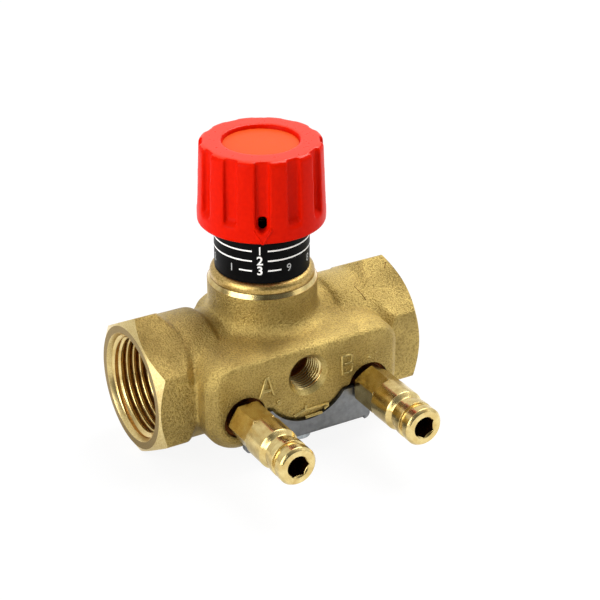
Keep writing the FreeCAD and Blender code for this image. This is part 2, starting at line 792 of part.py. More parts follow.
# Dial cap: a low dome pressed into the recess
cap = new_body("cap", (mid, 0, 0))
cap_foot = s.wheel_top - s.dial_depth + s.seat_gap
cap_radius = s.dial_radius - s.seat_gap
cap_edge = s.wheel_top - s.cap_inset
dome_radius = (cap_radius * cap_radius + s.cap_rise * s.cap_rise) / (s.cap_rise * 2)
revolve(cap, "cap_shape", [
    (0, cap_foot),
    (cap_radius, cap_foot),
    (cap_radius, cap_edge, dome_radius, "left"),
    (0, cap_edge + s.cap_rise),
])
label(cap, "knob_cap")

# The screw under the cap holds the handwheel on its spindle
knob_screw = new_body("knob_fastener", (mid, 0, 0))
knob_screw_top = s.wheel_top - s.dial_depth
shank_radius = s.stem_bore_radius - s.seat_gap
revolve(knob_screw, "knob_fastener_shape", [
    (0, knob_screw_top - s.knob_screw_length),
    (shank_radius - 0.4, knob_screw_top - s.knob_screw_length),
    (shank_radius, knob_screw_top - s.knob_screw_length + 0.4),
    (shank_radius, screw_pocket_floor + s.seat_gap),
    (s.knob_screw_head_radius, screw_pocket_floor + s.seat_gap),
    (s.knob_screw_head_radius, knob_screw_top),
    (0, knob_screw_top),
])
label(knob_screw, "knob_screw")

# Shut-off spindle: sealed at its lower half, threaded in the middle, slotted for the stop bar,
# with a hexagon drive and a bore for the presetting spindle at the top
seal_foot = s.seat_height + lift + s.seat_gap
cone_foot = seal_foot + s.seal_thickness
cone_top = cone_foot + s.cone_thickness
shoulder_height = cone_top + s.cone_hub_height + s.running_gap
cone_nut_foot = seal_foot - s.cone_nut_height
clip_top = cone_nut_foot - s.running_gap
clip_foot = clip_top - s.clip_thickness
clip_groove_radius = s.stem_end_radius - 0.6
slot_top = stop_bar_foot + s.stop_bar_height + lift + 0.2
drive_foot = s.hub_foot - 0.5
preset_top = s.preset_seat + s.preset_head_length
preset_clip_foot = preset_top + s.running_gap
spindle = new_body("spindle", (mid, 0, 0))
revolve(spindle, "spindle_shape", [
    (0, clip_foot - 1.0),
    (s.stem_end_radius - 0.4, clip_foot - 1.0),
    (s.stem_end_radius, clip_foot - 0.6),
    (s.stem_end_radius, clip_foot),
    (clip_groove_radius, clip_foot),
    (clip_groove_radius, clip_top),
    (s.stem_end_radius, clip_top),
    (s.stem_end_radius, shoulder_height),
    (s.stem_radius, shoulder_height),
    (s.stem_radius, thread_foot),
    (s.stem_thread_radius - s.running_gap, thread_foot),
    (s.stem_thread_radius - s.running_gap, thread_top),
    (s.stem_radius, thread_top),
    (s.stem_radius, drive_foot),
    (0, drive_foot),
])
drive = outline(spindle, "drive_profile", "XY_Plane", hexagon_corners(s.drive_flats), drive_foot)
extrude(spindle, "drive", drive, s.stem_top - drive_foot)
rod_hole_foot = thread_top - 1.5
revolve(spindle, "spindle_bore", [
    (0, rod_hole_foot),
    (s.preset_rod_radius + s.running_gap, rod_hole_foot),
    (s.preset_rod_radius + s.running_gap, s.preset_seat),
    (s.stem_bore_radius, s.preset_seat),
    (s.stem_bore_radius, preset_clip_foot),
    (s.stem_bore_radius + 0.4, preset_clip_foot),
    (s.stem_bore_radius + 0.4, preset_clip_foot + s.clip_thickness),
    (s.stem_bore_radius, preset_clip_foot + s.clip_thickness),
    (s.stem_bore_radius, s.stem_top + 1.0),
    (0, s.stem_top + 1.0),
], groove=True)
bar_half = s.stop_bar_width / 2 + s.running_gap
bar_slot = outline(spindle, "bar_slot_profile", "XZ_Plane", [
    (-bar_half, thread_top),
    (bar_half, thread_top),
    (bar_half, slot_top),
    (-bar_half, slot_top),
])
extrude(spindle, "bar_slot", bar_slot, s.stem_radius * 4, pocket=True, midplane=True)
label(spindle, "shut_off_spindle")

# Presetting spindle with its hexagon socket, and the clip that keeps it in the bore
preset = new_body("preset", (mid, 0, 0))
preset_head_radius = s.stem_bore_radius - s.running_gap
revolve(preset, "preset_shape", [
    (0, rod_hole_foot + s.running_gap),
    (s.preset_rod_radius, rod_hole_foot + s.running_gap),
    (s.preset_rod_radius, s.preset_seat + s.running_gap),
    (preset_head_radius, s.preset_seat + s.running_gap),
    (preset_head_radius, preset_top),
    (0, preset_top),
])
key_socket = outline(preset, "key_socket_profile", "XY_Plane", hexagon_corners(s.preset_key_flats),
                     preset_top)
extrude(preset, "key_socket", key_socket, s.preset_key_depth, pocket=True)
label(preset, "setting_spindle")


def washer(name, foot, inner, outer_radius, thickness, slot_width=None):
    """A flat ring, split at its +X side when a slot width is given."""
    body = new_body(name, (mid, 0, 0))
    revolve(body, name + "_shape", [
        (inner, foot),
        (outer_radius, foot),
        (outer_radius, foot + thickness),
        (inner, foot + thickness),
    ])
    if slot_width is not None:
        gap = outline(body, name + "_gap_profile", "XY_Plane", [
            (0, -slot_width / 2),
            (outer_radius + 1.0, -slot_width / 2),
            (outer_radius + 1.0, slot_width / 2),
            (0, slot_width / 2),
        ], foot + thickness)
        extrude(body, name + "_gap", gap, thickness, pocket=True)
    return body


clip_clear = s.clip_thickness - s.seat_gap * 2
label(washer("preset_clip", preset_clip_foot + s.seat_gap, s.setting_clip_bore_radius,
             s.stem_bore_radius + 0.4 - s.seat_gap, clip_clear, s.setting_clip_slot), "setting_clip")
label(washer("stem_clip", clip_foot + s.seat_gap, clip_groove_radius + s.seat_gap, s.clip_radius,
             clip_clear, s.stem_end_radius * 1.6), "cone_clip")
stop_ring_outer = s.stem_thread_radius + s.stop_ring_depth
label(washer("stop_washer", stop_ring_foot, s.stem_radius + 0.35, stop_ring_outer - s.seat_gap,
             s.stop_ring_thickness, s.stop_ring_slot), "stop_ring")

# Stop bar: rides on the presetting spindle's thread, through the slot of the shut-off spindle
bar = box("bar_blank", (mid - s.stop_bar_width / 2, -s.stop_bar_reach, stop_bar_foot),
          (mid + s.stop_bar_width / 2, s.stop_bar_reach, stop_bar_foot + s.stop_bar_height))
bar_ends = cylinder("bar_ends", (mid, 0, stop_bar_foot), "z", s.stop_bar_reach, s.stop_bar_height)
bar_hole = cylinder("bar_hole", (mid, 0, stop_bar_foot - 1.0), "z",
                    s.preset_rod_radius + s.seat_gap, s.stop_bar_height + 2.0)
label(cut("bar", common("bar_rounded", bar, bar_ends), bar_hole), "stop_bar")

# Valve cone on the spindle's lower end, its soft seal and the nut that clamps the seal
spigot_radius = s.seal_bore_radius
cone_bore = s.stem_end_radius + s.running_gap
plug_cone = new_body("plug_cone", (mid, 0, 0))
revolve(plug_cone, "plug_cone_shape", [
    (cone_bore, cone_nut_foot),
    (spigot_radius, cone_nut_foot),
    (spigot_radius, cone_foot),
    (s.cone_radius, cone_foot),
    (s.cone_radius, cone_top - 0.4),
    (s.cone_radius - 0.4, cone_top),
    (s.cone_hub_radius, cone_top),
    (s.cone_hub_radius, cone_top + s.cone_hub_height),
    (cone_bore, cone_top + s.cone_hub_height),
])
label(plug_cone, "valve_cone")
label(washer("seal", seal_foot, spigot_radius + s.seat_gap, s.cone_radius,
             s.seal_thickness - s.seat_gap), "cone_seal")
cone_nut = hexagon("cone_nut_blank", (mid, 0, cone_nut_foot), "z", s.cone_nut_flats,
                   s.cone_nut_height - s.seat_gap)
cone_nut_hole = cylinder("cone_nut_hole", (mid, 0, cone_nut_foot - 1.0), "z",
                         spigot_radius + s.seat_gap, s.cone_nut_height + 2.0)
label(cut("cone_nut", cone_nut, cone_nut_hole), "cone_nut")


# Test nipples, each built along its own axis and turned to point out of the boss
def nipple_body(name, side, x):
    body = new_body(name + "_" + side, (x, 0, nipple_height), AXES["-y"])
    return body


shank_foot = nipple_foot + s.running_gap
fork_end = plate_seat + s.plate_thickness + s.running_gap * 2
ring_slot_foot = shank_foot + 0.6
ring_slot_end = ring_slot_foot + s.nipple_ring_slot
hexagon_start = fork_end + s.nipple_neck_length
hexagon_reach = s.nipple_hex_flats / math.sqrt(3.0)
tip_ring = s.nipple_tip - 2.5
lower_ring = s.nipple_tip - 5.7
spring_foot = nipple_foot + 6.4 + s.bush_length
poppet_tail = s.poppet_seat - s.poppet_head_length
spring_length = poppet_tail - spring_foot


def make_nipple(side, x, spin):
    nipple = nipple_body("nipple", side, x)
    revolve(nipple, "nipple_shape_" + side, [
        (s.poppet_chamber_radius, shank_foot),
        (s.nipple_thread_radius - 0.5, shank_foot),
        (s.nipple_thread_radius, shank_foot + 0.5),
        (s.nipple_thread_radius, ring_slot_foot),
        (s.nipple_lock_radius, ring_slot_foot),
        (s.nipple_lock_radius, ring_slot_end),
        (s.nipple_thread_radius, ring_slot_end),
        (s.nipple_thread_radius, plate_seat),
        (s.nipple_lock_radius, plate_seat),
        (s.nipple_lock_radius, fork_end),
        (s.nipple_neck_radius, fork_end),
        (s.nipple_neck_radius, s.nipple_hex_end),
        (s.nipple_barrel_radius, s.nipple_hex_end),
        (s.nipple_barrel_radius, s.nipple_barrel_end),
        (s.nipple_groove_radius, s.nipple_barrel_end + 1.2),
        (s.nipple_groove_radius, lower_ring - 0.3),
        (s.nipple_ring_radius, lower_ring),
        (s.nipple_ring_radius, lower_ring + 1.7),
        (s.nipple_groove_radius + 0.1, lower_ring + 1.8),
        (s.nipple_groove_radius + 0.1, tip_ring - 0.2),
        (s.nipple_ring_radius, tip_ring),
        (s.nipple_ring_radius, s.nipple_tip - 0.7),
        (s.nipple_ring_radius - 0.6, s.nipple_tip),
        (s.nipple_bore_radius, s.nipple_tip),
        (s.nipple_bore_radius, s.poppet_seat),
        (s.poppet_chamber_radius, s.poppet_seat),
    ])
    corners = hexagon_corners(s.nipple_hex_flats, spin)
    shape = outline(nipple, "hexagon_profile_" + side, "XY_Plane", corners, hexagon_start)
    extrude(nipple, "hexagon_pad_" + side, shape, s.nipple_hex_end - hexagon_start)
    chamber = circle_sketch(nipple, "chamber_profile_" + side, "XY_Plane", 0, 0,
                            s.poppet_chamber_radius, s.poppet_seat)
    extrude(nipple, "chamber_again_" + side, chamber, s.poppet_seat - hexagon_start + 1.0,
            pocket=True)
    for end, inward, name in ((hexagon_start, 1, "rear"), (s.nipple_hex_end, -1, "front")):
        revolve(nipple, "hexagon_chamfer_" + name + "_" + side, [
            (s.nipple_hex_flats / 2, end),
            (hexagon_reach + 0.4, end),
            (hexagon_reach + 0.4, end + (hexagon_reach + 0.4 - s.nipple_hex_flats / 2) * 0.5 * inward),
        ], groove=True)
    socket = outline(nipple, "socket_profile_" + side, "XY_Plane",
                     hexagon_corners(s.nipple_socket_flats, spin), s.nipple_tip)
    extrude(nipple, "socket_" + side, socket, s.nipple_socket_depth, pocket=True)
    label(nipple, "test_plug_" + side)

    poppet = nipple_body("poppet", side, x)
    revolve(poppet, "poppet_shape_" + side, [
        (0, poppet_tail - s.poppet_tail_length),
        (s.spring_radius - s.spring_wire_radius - 0.3, poppet_tail - s.poppet_tail_length),
        (s.spring_radius - s.spring_wire_radius - 0.3, poppet_tail),
        (s.poppet_chamber_radius - s.running_gap * 3, poppet_tail),
        (s.poppet_chamber_radius - s.running_gap * 3, s.poppet_seat - s.seat_gap),
        (s.poppet_stem_radius, s.poppet_seat - s.seat_gap),
        (s.poppet_stem_radius, s.poppet_stem_end - 0.5),
        (s.poppet_stem_radius - 0.5, s.poppet_stem_end),
        (0, s.poppet_stem_end),
    ])
    label(poppet, "plug_poppet_" + side)

    bush = nipple_body("bush", side, x)
    revolve(bush, "bush_shape_" + side, [
        (s.bush_bore_radius, spring_foot - s.bush_length),
        (s.poppet_chamber_radius - s.seat_gap, spring_foot - s.bush_length),
        (s.poppet_chamber_radius - s.seat_gap, spring_foot),
        (s.bush_bore_radius, spring_foot),
    ])
    label(bush, "plug_bush_" + side)

    spring = nipple_body("spring", side, x)
    wire = circle_sketch(spring, "wire_profile_" + side, "XZ_Plane", s.spring_radius,
                         spring_foot + s.spring_wire_radius + s.seat_gap, s.spring_wire_radius)
    coil = spring.newObject("PartDesign::AdditiveHelix", "coil_" + side)
    coil.Profile = (wire, [""])
    coil.ReferenceAxis = (wire, ["V_Axis"])
    coil.Mode = 0
    coil_height = spring_length - s.spring_wire_radius * 2 - s.seat_gap * 2
    bind(coil, "Height", coil_height)
    bind(coil, "Pitch", coil_height / s.spring_turns)
    document.recompute()
    label(spring, "plug_spring_" + side)

    thickness = s.nipple_thread_radius - s.nipple_lock_radius - s.seat_gap
    label(torus("nipple_seal_" + side, (x, -(ring_slot_foot + s.nipple_ring_slot / 2), nipple_height),
                "-y", s.nipple_lock_radius + s.seat_gap / 2 + thickness / 2, thickness),
          "plug_o_ring_" + side)


make_nipple("a", mid - half_spacing, 0)
make_nipple("b", mid + half_spacing, 30)

# Locking plate: notched round both nipples and the drain boss, with a leg bent under the boss
plate_back = plate_seat + s.seat_gap
plate_front = plate_back + s.plate_thickness
leg_top = -s.drum_bottom - s.seat_gap
plate_foot = leg_top - s.plate_thickness
notch_radius = s.nipple_lock_radius + 0.2
plate_lower = box("plate_lower", (mid - s.plate_half_width, -plate_front, plate_foot),
                  (mid + s.plate_half_width, -plate_back, nipple_height - notch_radius))
plate_upper = box("plate_upper", (mid - half_spacing, -plate_front, plate_foot),
                  (mid + half_spacing, -plate_back, nipple_height))
plate_leg = box("plate_leg", (mid - s.plate_leg_half_width, -plate_front, plate_foot),
                (mid + s.plate_leg_half_width, -plate_front + s.plate_leg, leg_top))
notch_length = plate_front + s.plate_leg
plate_notches = fuse("plate_notches",
                     cylinder("notch_a", (mid - half_spacing, 0, nipple_height), "-y", notch_radius,
                              notch_length),
                     cylinder("notch_b", (mid + half_spacing, 0, nipple_height), "-y", notch_radius,
                              notch_length),
                     cylinder("notch_drain", (mid, 0, s.drain_rise), "-y",
                              s.drain_boss_radius + s.plate_gap, notch_length),
                     cylinder("plate_screw_hole", (mid, -s.boss_face + s.screw_inset, plate_foot - 1.0),
                              "z", s.screw_radius + 0.2, 6.0))
bend_corner = box("bend_corner", (mid - s.plate_leg_half_width, -plate_front - 1.0, plate_foot - 1.0),
                  (mid + s.plate_leg_half_width, -plate_front + s.plate_bend, plate_foot + s.plate_bend))
bend_round = cylinder("bend_round", (mid - s.plate_leg_half_width, -plate_front + s.plate_bend,
                                     plate_foot + s.plate_bend), "x", s.plate_bend,
                      s.plate_leg_half_width * 2)
plate_waste = fuse("plate_waste", plate_notches, cut("bend_waste", bend_corner, bend_round))
plate = cut("plate_notched", fuse("plate_blank", plate_lower, plate_upper, plate_leg), plate_waste)
document.recompute()


def straight_edges(shape, test):
    """Numbers of the straight edges whose two ends pass the test."""
    found = []
    for index, edge in enumerate(shape.Edges, start=1):
        ends = [vertex.Point for vertex in edge.Vertexes]
        if len(ends) == 2 and isinstance(edge.Curve, Part.Line) and test(*ends):
            found.append(index)
    return found


def lower_corner(first, second):
    side = s.plate_half_width.value
    low = abs(first.z - plate_foot.value) < 1e-3 and abs(second.z - plate_foot.value) < 1e-3
    return low and all(abs(abs(p.x - mid.value) - side) < 1e-3 for p in (first, second))


rounded_plate = document.addObject("Part::Fillet", "plate_rounded")
rounded_plate.Base = plate
rounded_plate.Edges = [(index, s.plate_corner.value, s.plate_corner.value)
                       for index in straight_edges(plate.Shape, lower_corner)]
label(rounded_plate, "locking_plate")

plate_screw = new_body("plate_fastener", (mid, -s.boss_face + s.screw_inset, 0))
head_top = plate_foot - s.seat_gap
revolve(plate_screw, "plate_fastener_shape", [
    (0, head_top - s.screw_head_height),
    (s.screw_head_radius, head_top - s.screw_head_height),
    (s.screw_head_radius, head_top),
    (s.screw_radius, head_top),
    (s.screw_radius, head_top + s.screw_length),
    (0, head_top + s.screw_length),
])
dress(plate_screw, "Fillet", "screw_head_round",
      rims(plate_screw.Shape, s.screw_head_radius, head_top - s.screw_head_height), 0.7)
label(plate_screw, "plate_screw")

# Check the whole document, then write one STEP file for each piece
document.recompute()
for thing in document.Objects:
    faults = [word for word in thing.State if word in ("Invalid", "Error")]
    if faults:
        raise RuntimeError("%s: %s" % (thing.Name, thing.getStatusString()))
for node in nodes:
    if node.Shape.isNull() or not node.Shape.isValid():
        raise RuntimeError("%s has no valid shape" % node.Label)
    if len(node.Shape.Solids) != 1:
        raise RuntimeError("%s has %d solids" % (node.Label, len(node.Shape.Solids)))
    node.Shape.exportStep("parts/%s.step" % node.Label)
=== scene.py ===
# Balancing valve: the looks of a brass valve with a red presetting handwheel and two test nipples.
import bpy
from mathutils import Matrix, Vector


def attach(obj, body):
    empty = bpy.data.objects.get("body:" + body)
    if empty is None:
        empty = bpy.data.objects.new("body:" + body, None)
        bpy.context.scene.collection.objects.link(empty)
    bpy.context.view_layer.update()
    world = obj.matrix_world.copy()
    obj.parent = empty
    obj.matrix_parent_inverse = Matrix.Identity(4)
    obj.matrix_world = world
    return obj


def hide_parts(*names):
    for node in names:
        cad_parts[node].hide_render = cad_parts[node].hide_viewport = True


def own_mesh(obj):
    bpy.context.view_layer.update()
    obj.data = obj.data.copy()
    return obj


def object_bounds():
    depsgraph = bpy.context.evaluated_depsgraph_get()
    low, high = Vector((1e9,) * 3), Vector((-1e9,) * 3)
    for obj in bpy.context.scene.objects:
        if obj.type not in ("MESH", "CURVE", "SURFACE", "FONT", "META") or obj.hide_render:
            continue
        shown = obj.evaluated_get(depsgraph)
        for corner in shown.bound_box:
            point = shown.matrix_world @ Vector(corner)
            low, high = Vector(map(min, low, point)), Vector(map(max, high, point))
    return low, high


bl_info = {
    "name": "Balancing valve",
    "version": (1, 0, 0),
    "blender": (4, 5, 0),
    "location": "3D Viewport > Sidebar > Valve",
    "description": "Builds the visible surfaces of a brass balancing valve over its solid model",
    "category": "Object",
}

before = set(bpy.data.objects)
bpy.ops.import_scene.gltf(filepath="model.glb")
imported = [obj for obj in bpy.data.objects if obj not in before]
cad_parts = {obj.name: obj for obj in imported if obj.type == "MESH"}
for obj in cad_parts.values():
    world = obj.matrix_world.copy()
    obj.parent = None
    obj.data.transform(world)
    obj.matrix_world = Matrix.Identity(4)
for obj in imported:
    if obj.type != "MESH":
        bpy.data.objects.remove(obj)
solid_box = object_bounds()

import math

import bmesh
import bpy
from mathutils import Matrix, Vector

MM = 0.001

# Places and sizes on the valve, in millimetres, from the left port's mouth; the pointer's angle is
# in degrees about the stem, and the blends of the casting are relaxed beyond CLEAN_START
LENGTH = 75.0
STEM_X = 37.5
FRONT = 23.0
HEX_FLATS = 32.6
BORE_DEPTH = 14.4
SMALL_HOLE = 4.86
NECK_BORE = 11.32
NIPPLE_Z = -2.9
NIPPLES = (("a", 19.9), ("b", 55.1))
DRAIN_Z = 4.2
NECK_TOP = 22.8
PORT_THREAD = 13.22
SCALE_RADIUS = 11.94
PRINT_HEIGHT = 0.045
POINTER_ANGLE = -118.0
POINTER_RADIUS = 16.1
CLEAN_START = 11.5


# Small helpers

def clear_selection():
    """Leaves object mode with nothing selected."""
    if bpy.context.object is not None and bpy.context.object.mode != "OBJECT":
        bpy.ops.object.mode_set(mode="OBJECT")
    bpy.ops.object.select_all(action="DESELECT")


def pick(*things):
    """Selects only these objects; the last one is active."""
    clear_selection()
    for thing in things:
        thing.select_set(True)
        bpy.context.view_layer.objects.active = thing
    return things[-1]


def settle(thing):
    """Puts the object at the origin, unturned and unscaled, with its place in its mesh."""
    pick(thing)
    bpy.ops.object.transform_apply(location=True, rotation=True, scale=True)
    return thing


def apply_modifier(thing, kind, **settings):
    """Adds a modifier with these settings and applies it."""
    pick(thing)
    modifier = thing.modifiers.new(kind.title(), kind)
    for key, value in settings.items():
        setattr(modifier, key, value)
    bpy.ops.object.modifier_apply(modifier=modifier.name)
    return thing


def smooth(thing, degrees=35):
    """Smooth shading with edges kept where faces meet at more than this angle."""
    pick(thing)
    bpy.ops.object.shade_smooth_by_angle(angle=math.radians(degrees))
    return thing


def solid_copy(node, name, flat=0.5):
    """A welded copy of a solid's mesh, with its flat areas as single faces."""
    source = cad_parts[node]
    thing = bpy.data.objects.new(name, source.data.copy())
    bpy.context.scene.collection.objects.link(thing)
    thing.data.materials.clear()
    pick(thing)
    bpy.ops.object.mode_set(mode="EDIT")
    bpy.ops.mesh.select_all(action="SELECT")
    bpy.ops.mesh.remove_doubles(threshold=2e-6)
    if flat:
        bpy.ops.mesh.dissolve_limited(angle_limit=math.radians(flat))
    bpy.ops.object.mode_set(mode="OBJECT")
    if thing.data.has_custom_normals:
        bpy.ops.mesh.customdata_custom_splitnormals_clear()
    return thing


def rod(name, start, axis, radius, length, sides=64, turn=0.0):
    """A cylinder or prism in mm from a start point along X, -X, -Y or Z, spun by turn degrees."""
    clear_selection()
    bpy.ops.mesh.primitive_cylinder_add(vertices=sides, radius=radius * MM, depth=length * MM,
                                        location=(0, 0, length / 2 * MM))
    thing = settle(bpy.context.object)
    thing.name = name
    thing.rotation_euler = (0, 0, math.radians(turn))
    settle(thing)
    stand(thing, start, axis)
    return thing


def stand(thing, start, axis):
    """Turns a piece made along Z to another axis and moves it to its place."""
    thing.rotation_euler = {"X": (0, math.pi / 2, 0), "-X": (0, -math.pi / 2, 0),
                            "-Y": (math.pi / 2, 0, 0), "Y": (-math.pi / 2, 0, 0),
                            "Z": (0, 0, 0)}[axis]
    thing.location = [c * MM for c in start]
    return settle(thing)


def block(name, low, high):
    """A box between two corners in mm."""
    clear_selection()
    bpy.ops.mesh.primitive_cube_add(size=1.0, location=[(a + b) / 2 * MM for a, b in zip(low, high)],
                                    scale=[(b - a) * MM for a, b in zip(low, high)])
    thing = settle(bpy.context.object)
    thing.name = name
    return thing


def join(first, *others):
    """Joins the other meshes into the first one."""
    pick(*others, first)
    bpy.ops.object.join()
    return first


def round_edges(thing, width, degrees=30):
    """Rounds the sharp edges of a piece by a small bevel of this width in mm; flats stay flat."""
    apply_modifier(thing, "BEVEL", width=width * MM, segments=3, limit_method="ANGLE",
                   angle_limit=math.radians(degrees), use_clamp_overlap=False)
    smooth(thing, 50)
    return apply_modifier(thing, "WEIGHTED_NORMAL", mode="FACE_AREA", weight=80, keep_sharp=True)


def soften(thing, rounds, group=""):
    """Relaxes a dense mesh so that its corners turn into soft cast or moulded ones."""
    return apply_modifier(thing, "SMOOTH", factor=0.5, iterations=rounds, vertex_group=group)


def weigh(thing, name, weight_at):
    """Gives every vertex a weight between 0 and 1 from its place in mm."""
    group = thing.vertex_groups.new(name=name)
    for vertex in thing.data.vertices:
        weight = max(0.0, min(1.0, weight_at(*(vertex.co / MM))))
        if weight > 0.0:
            group.add([vertex.index], weight, "REPLACE")
    return group.name


def paint(thing, *materials):
    """Sets a piece's material slots in order."""
    thing.data.materials.clear()
    for material in materials:
        thing.data.materials.append(bpy.data.materials[material])
    return thing


def finish(thing, material, body, slot, *nodes):
    """Gives a piece its material and its body, and hides the solids it stands for; the slot is not used.
    """
    if material is not None:
        paint(thing, material)
    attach(thing, body)
    if nodes:
        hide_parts(*nodes)
    clear_selection()
    return thing


def turned_profile(name, points, steps=96, rise=0.0, turns=1):
    """An open profile of (radius, height) in mm, swept about Z; with a rise it is a screw thread."""
    clear_selection()
    bpy.ops.mesh.primitive_circle_add(vertices=len(points), fill_type="NOTHING")
    thing = bpy.context.object
    thing.name = name
    for vertex, (radius, height) in zip(thing.data.vertices, points):
        vertex.co = (radius * MM, 0, height * MM)
    last = len(points) - 1
    mesh = bmesh.new()
    mesh.from_mesh(thing.data)
    closing = [edge for edge in mesh.edges if {v.index for v in edge.verts} == {0, last}]
    bmesh.ops.delete(mesh, geom=closing, context="EDGES")
    mesh.to_mesh(thing.data)
    mesh.free()
    apply_modifier(thing, "SCREW", axis="Z", angle=2 * math.pi, screw_offset=rise * MM,
                   iterations=turns, steps=steps, render_steps=steps, use_merge_vertices=not rise,
                   merge_threshold=1e-6, use_normal_calculate=True)
    return thing


def turned_solid(name, points, steps=128):
    """A solid of revolution about Z; its profile starts and ends on the axis."""
    thing = turned_profile(name, points, steps)
    pick(thing)
    bpy.ops.object.mode_set(mode="EDIT")
    bpy.ops.mesh.select_all(action="SELECT")
    bpy.ops.mesh.remove_doubles(threshold=1e-7)
    bpy.ops.mesh.normals_make_consistent(inside=False)
    bpy.ops.object.mode_set(mode="OBJECT")
    return thing


# Colours and materials

def tint(code):
    """An sRGB hex colour as linear red, green, blue and alpha."""
    values = [int(code[i:i + 2], 16) / 255 for i in (1, 3, 5)]
    return tuple(v / 12.92 if v <= 0.04045 else ((v + 0.055) / 1.055) ** 2.4 for v in values) + (1.0,)


def add_node(tree, kind, settings=None, links=None):
    """Adds one node; links maps an input to an output socket or a plain value."""
    node = tree.nodes.new(kind)
    for key, value in (settings or {}).items():
        setattr(node, key, value)
    for key, value in (links or {}).items():
        if isinstance(value, bpy.types.NodeSocket):
            tree.links.new(value, node.inputs[key])
        else:
            node.inputs[key].default_value = value
    return node


def new_material(name):
    """An empty material with its output, and the Object coordinates for its patterns."""
    material = bpy.data.materials.new(name)
    material.use_nodes = True
    tree = material.node_tree
    tree.nodes.clear()
    place = add_node(tree, "ShaderNodeTexCoord").outputs["Object"]
    return material, tree, place


def close_material(tree, shader):
    add_node(tree, "ShaderNodeOutputMaterial", None, {"Surface": shader})


def ramp(tree, value, stops):
    """A colour ramp from (position, hex colour) pairs."""
    node = add_node(tree, "ShaderNodeValToRGB", None, {"Fac": value})
    elements = node.color_ramp.elements
    while len(elements) > 1:
        elements.remove(elements[-1])
    elements[0].position, elements[0].color = stops[0][0], tint(stops[0][1])
    for position, code in stops[1:]:
        element = elements.new(position)
        element.color = tint(code)
    return node.outputs["Color"]


def cast_brass(looks):
    """Cast brass, shot-blasted: a dull yellow skin with a coarse grain of about 0.5 mm."""
    material, tree, place = new_material("sand_cast_brass")
    grain = add_node(tree, "ShaderNodeTexNoise", {"noise_dimensions": "3D"},
                     {"Vector": place, "Scale": 2300.0, "Detail": 3.0, "Roughness": 0.6})
    stains = add_node(tree, "ShaderNodeTexNoise", None,
                      {"Vector": place, "Scale": 70.0, "Detail": 2.0, "Roughness": 0.5})
    base = ramp(tree, stains.outputs["Fac"], [(0.3, looks.brass_dark), (0.7, looks.brass_light)])
    shade = ramp(tree, grain.outputs["Fac"], [(0.36, "#9C9078"), (0.56, "#FFFFFF")])
    mix = add_node(tree, "ShaderNodeMix", {"data_type": "RGBA", "blend_type": "MULTIPLY"},
                   {"Factor": 0.66, "A": base, "B": shade})
    gloss = add_node(tree, "ShaderNodeMapRange", None,
                     {"Value": grain.outputs["Fac"], "From Min": 0.3, "From Max": 0.7,
                      "To Min": 0.36, "To Max": 0.52})
    bump = add_node(tree, "ShaderNodeBump", None,
                    {"Height": grain.outputs["Fac"], "Strength": 1.0, "Distance": 0.00042})
    shader = add_node(tree, "ShaderNodeBsdfPrincipled", None,
                      {"Base Color": mix.outputs["Result"], "Metallic": 1.0,
                       "Roughness": gloss.outputs["Result"], "Normal": bump.outputs["Normal"]})
    close_material(tree, shader.outputs["BSDF"])
    return material


def machined_brass(looks):
    """Turned brass: bright and pale, with a fine unevenness that blurs its reflections a little."""
    material, tree, place = new_material("turned_brass")
    cloud = add_node(tree, "ShaderNodeTexNoise", None,
                     {"Vector": place, "Scale": 420.0, "Detail": 4.0, "Roughness": 0.6})
    base = ramp(tree, cloud.outputs["Fac"], [(0.3, looks.turned_dark), (0.7, looks.turned_light)])
    gloss = add_node(tree, "ShaderNodeMapRange", None,
                     {"Value": cloud.outputs["Fac"], "From Min": 0.3, "From Max": 0.7,
                      "To Min": 0.16, "To Max": 0.27})
    fine = add_node(tree, "ShaderNodeTexNoise", None,
                    {"Vector": place, "Scale": 3000.0, "Detail": 2.0, "Roughness": 0.5})
    bump = add_node(tree, "ShaderNodeBump", None,
                    {"Height": fine.outputs["Fac"], "Strength": 0.18, "Distance": 0.00006})
    shader = add_node(tree, "ShaderNodeBsdfPrincipled", None,
                      {"Base Color": base, "Metallic": 1.0, "Roughness": gloss.outputs["Result"],
                       "Normal": bump.outputs["Normal"]})
    close_material(tree, shader.outputs["BSDF"])
    return material


def blasted_brass(name, dark, light, rough, grain):
    """Brass after shot blasting or boring: an even satin skin with a fine grain."""
    material, tree, place = new_material(name)
    speck = add_node(tree, "ShaderNodeTexNoise", None,
                     {"Vector": place, "Scale": 2600.0, "Detail": 3.0, "Roughness": 0.6})
    base = ramp(tree, speck.outputs["Fac"], [(0.34, dark), (0.62, light)])
    bump = add_node(tree, "ShaderNodeBump", None,
                    {"Height": speck.outputs["Fac"], "Strength": grain, "Distance": 0.00012})
    shader = add_node(tree, "ShaderNodeBsdfPrincipled", None,
                      {"Base Color": base, "Metallic": 1.0, "Roughness": rough,
                       "Normal": bump.outputs["Normal"]})
    close_material(tree, shader.outputs["BSDF"])
    return material


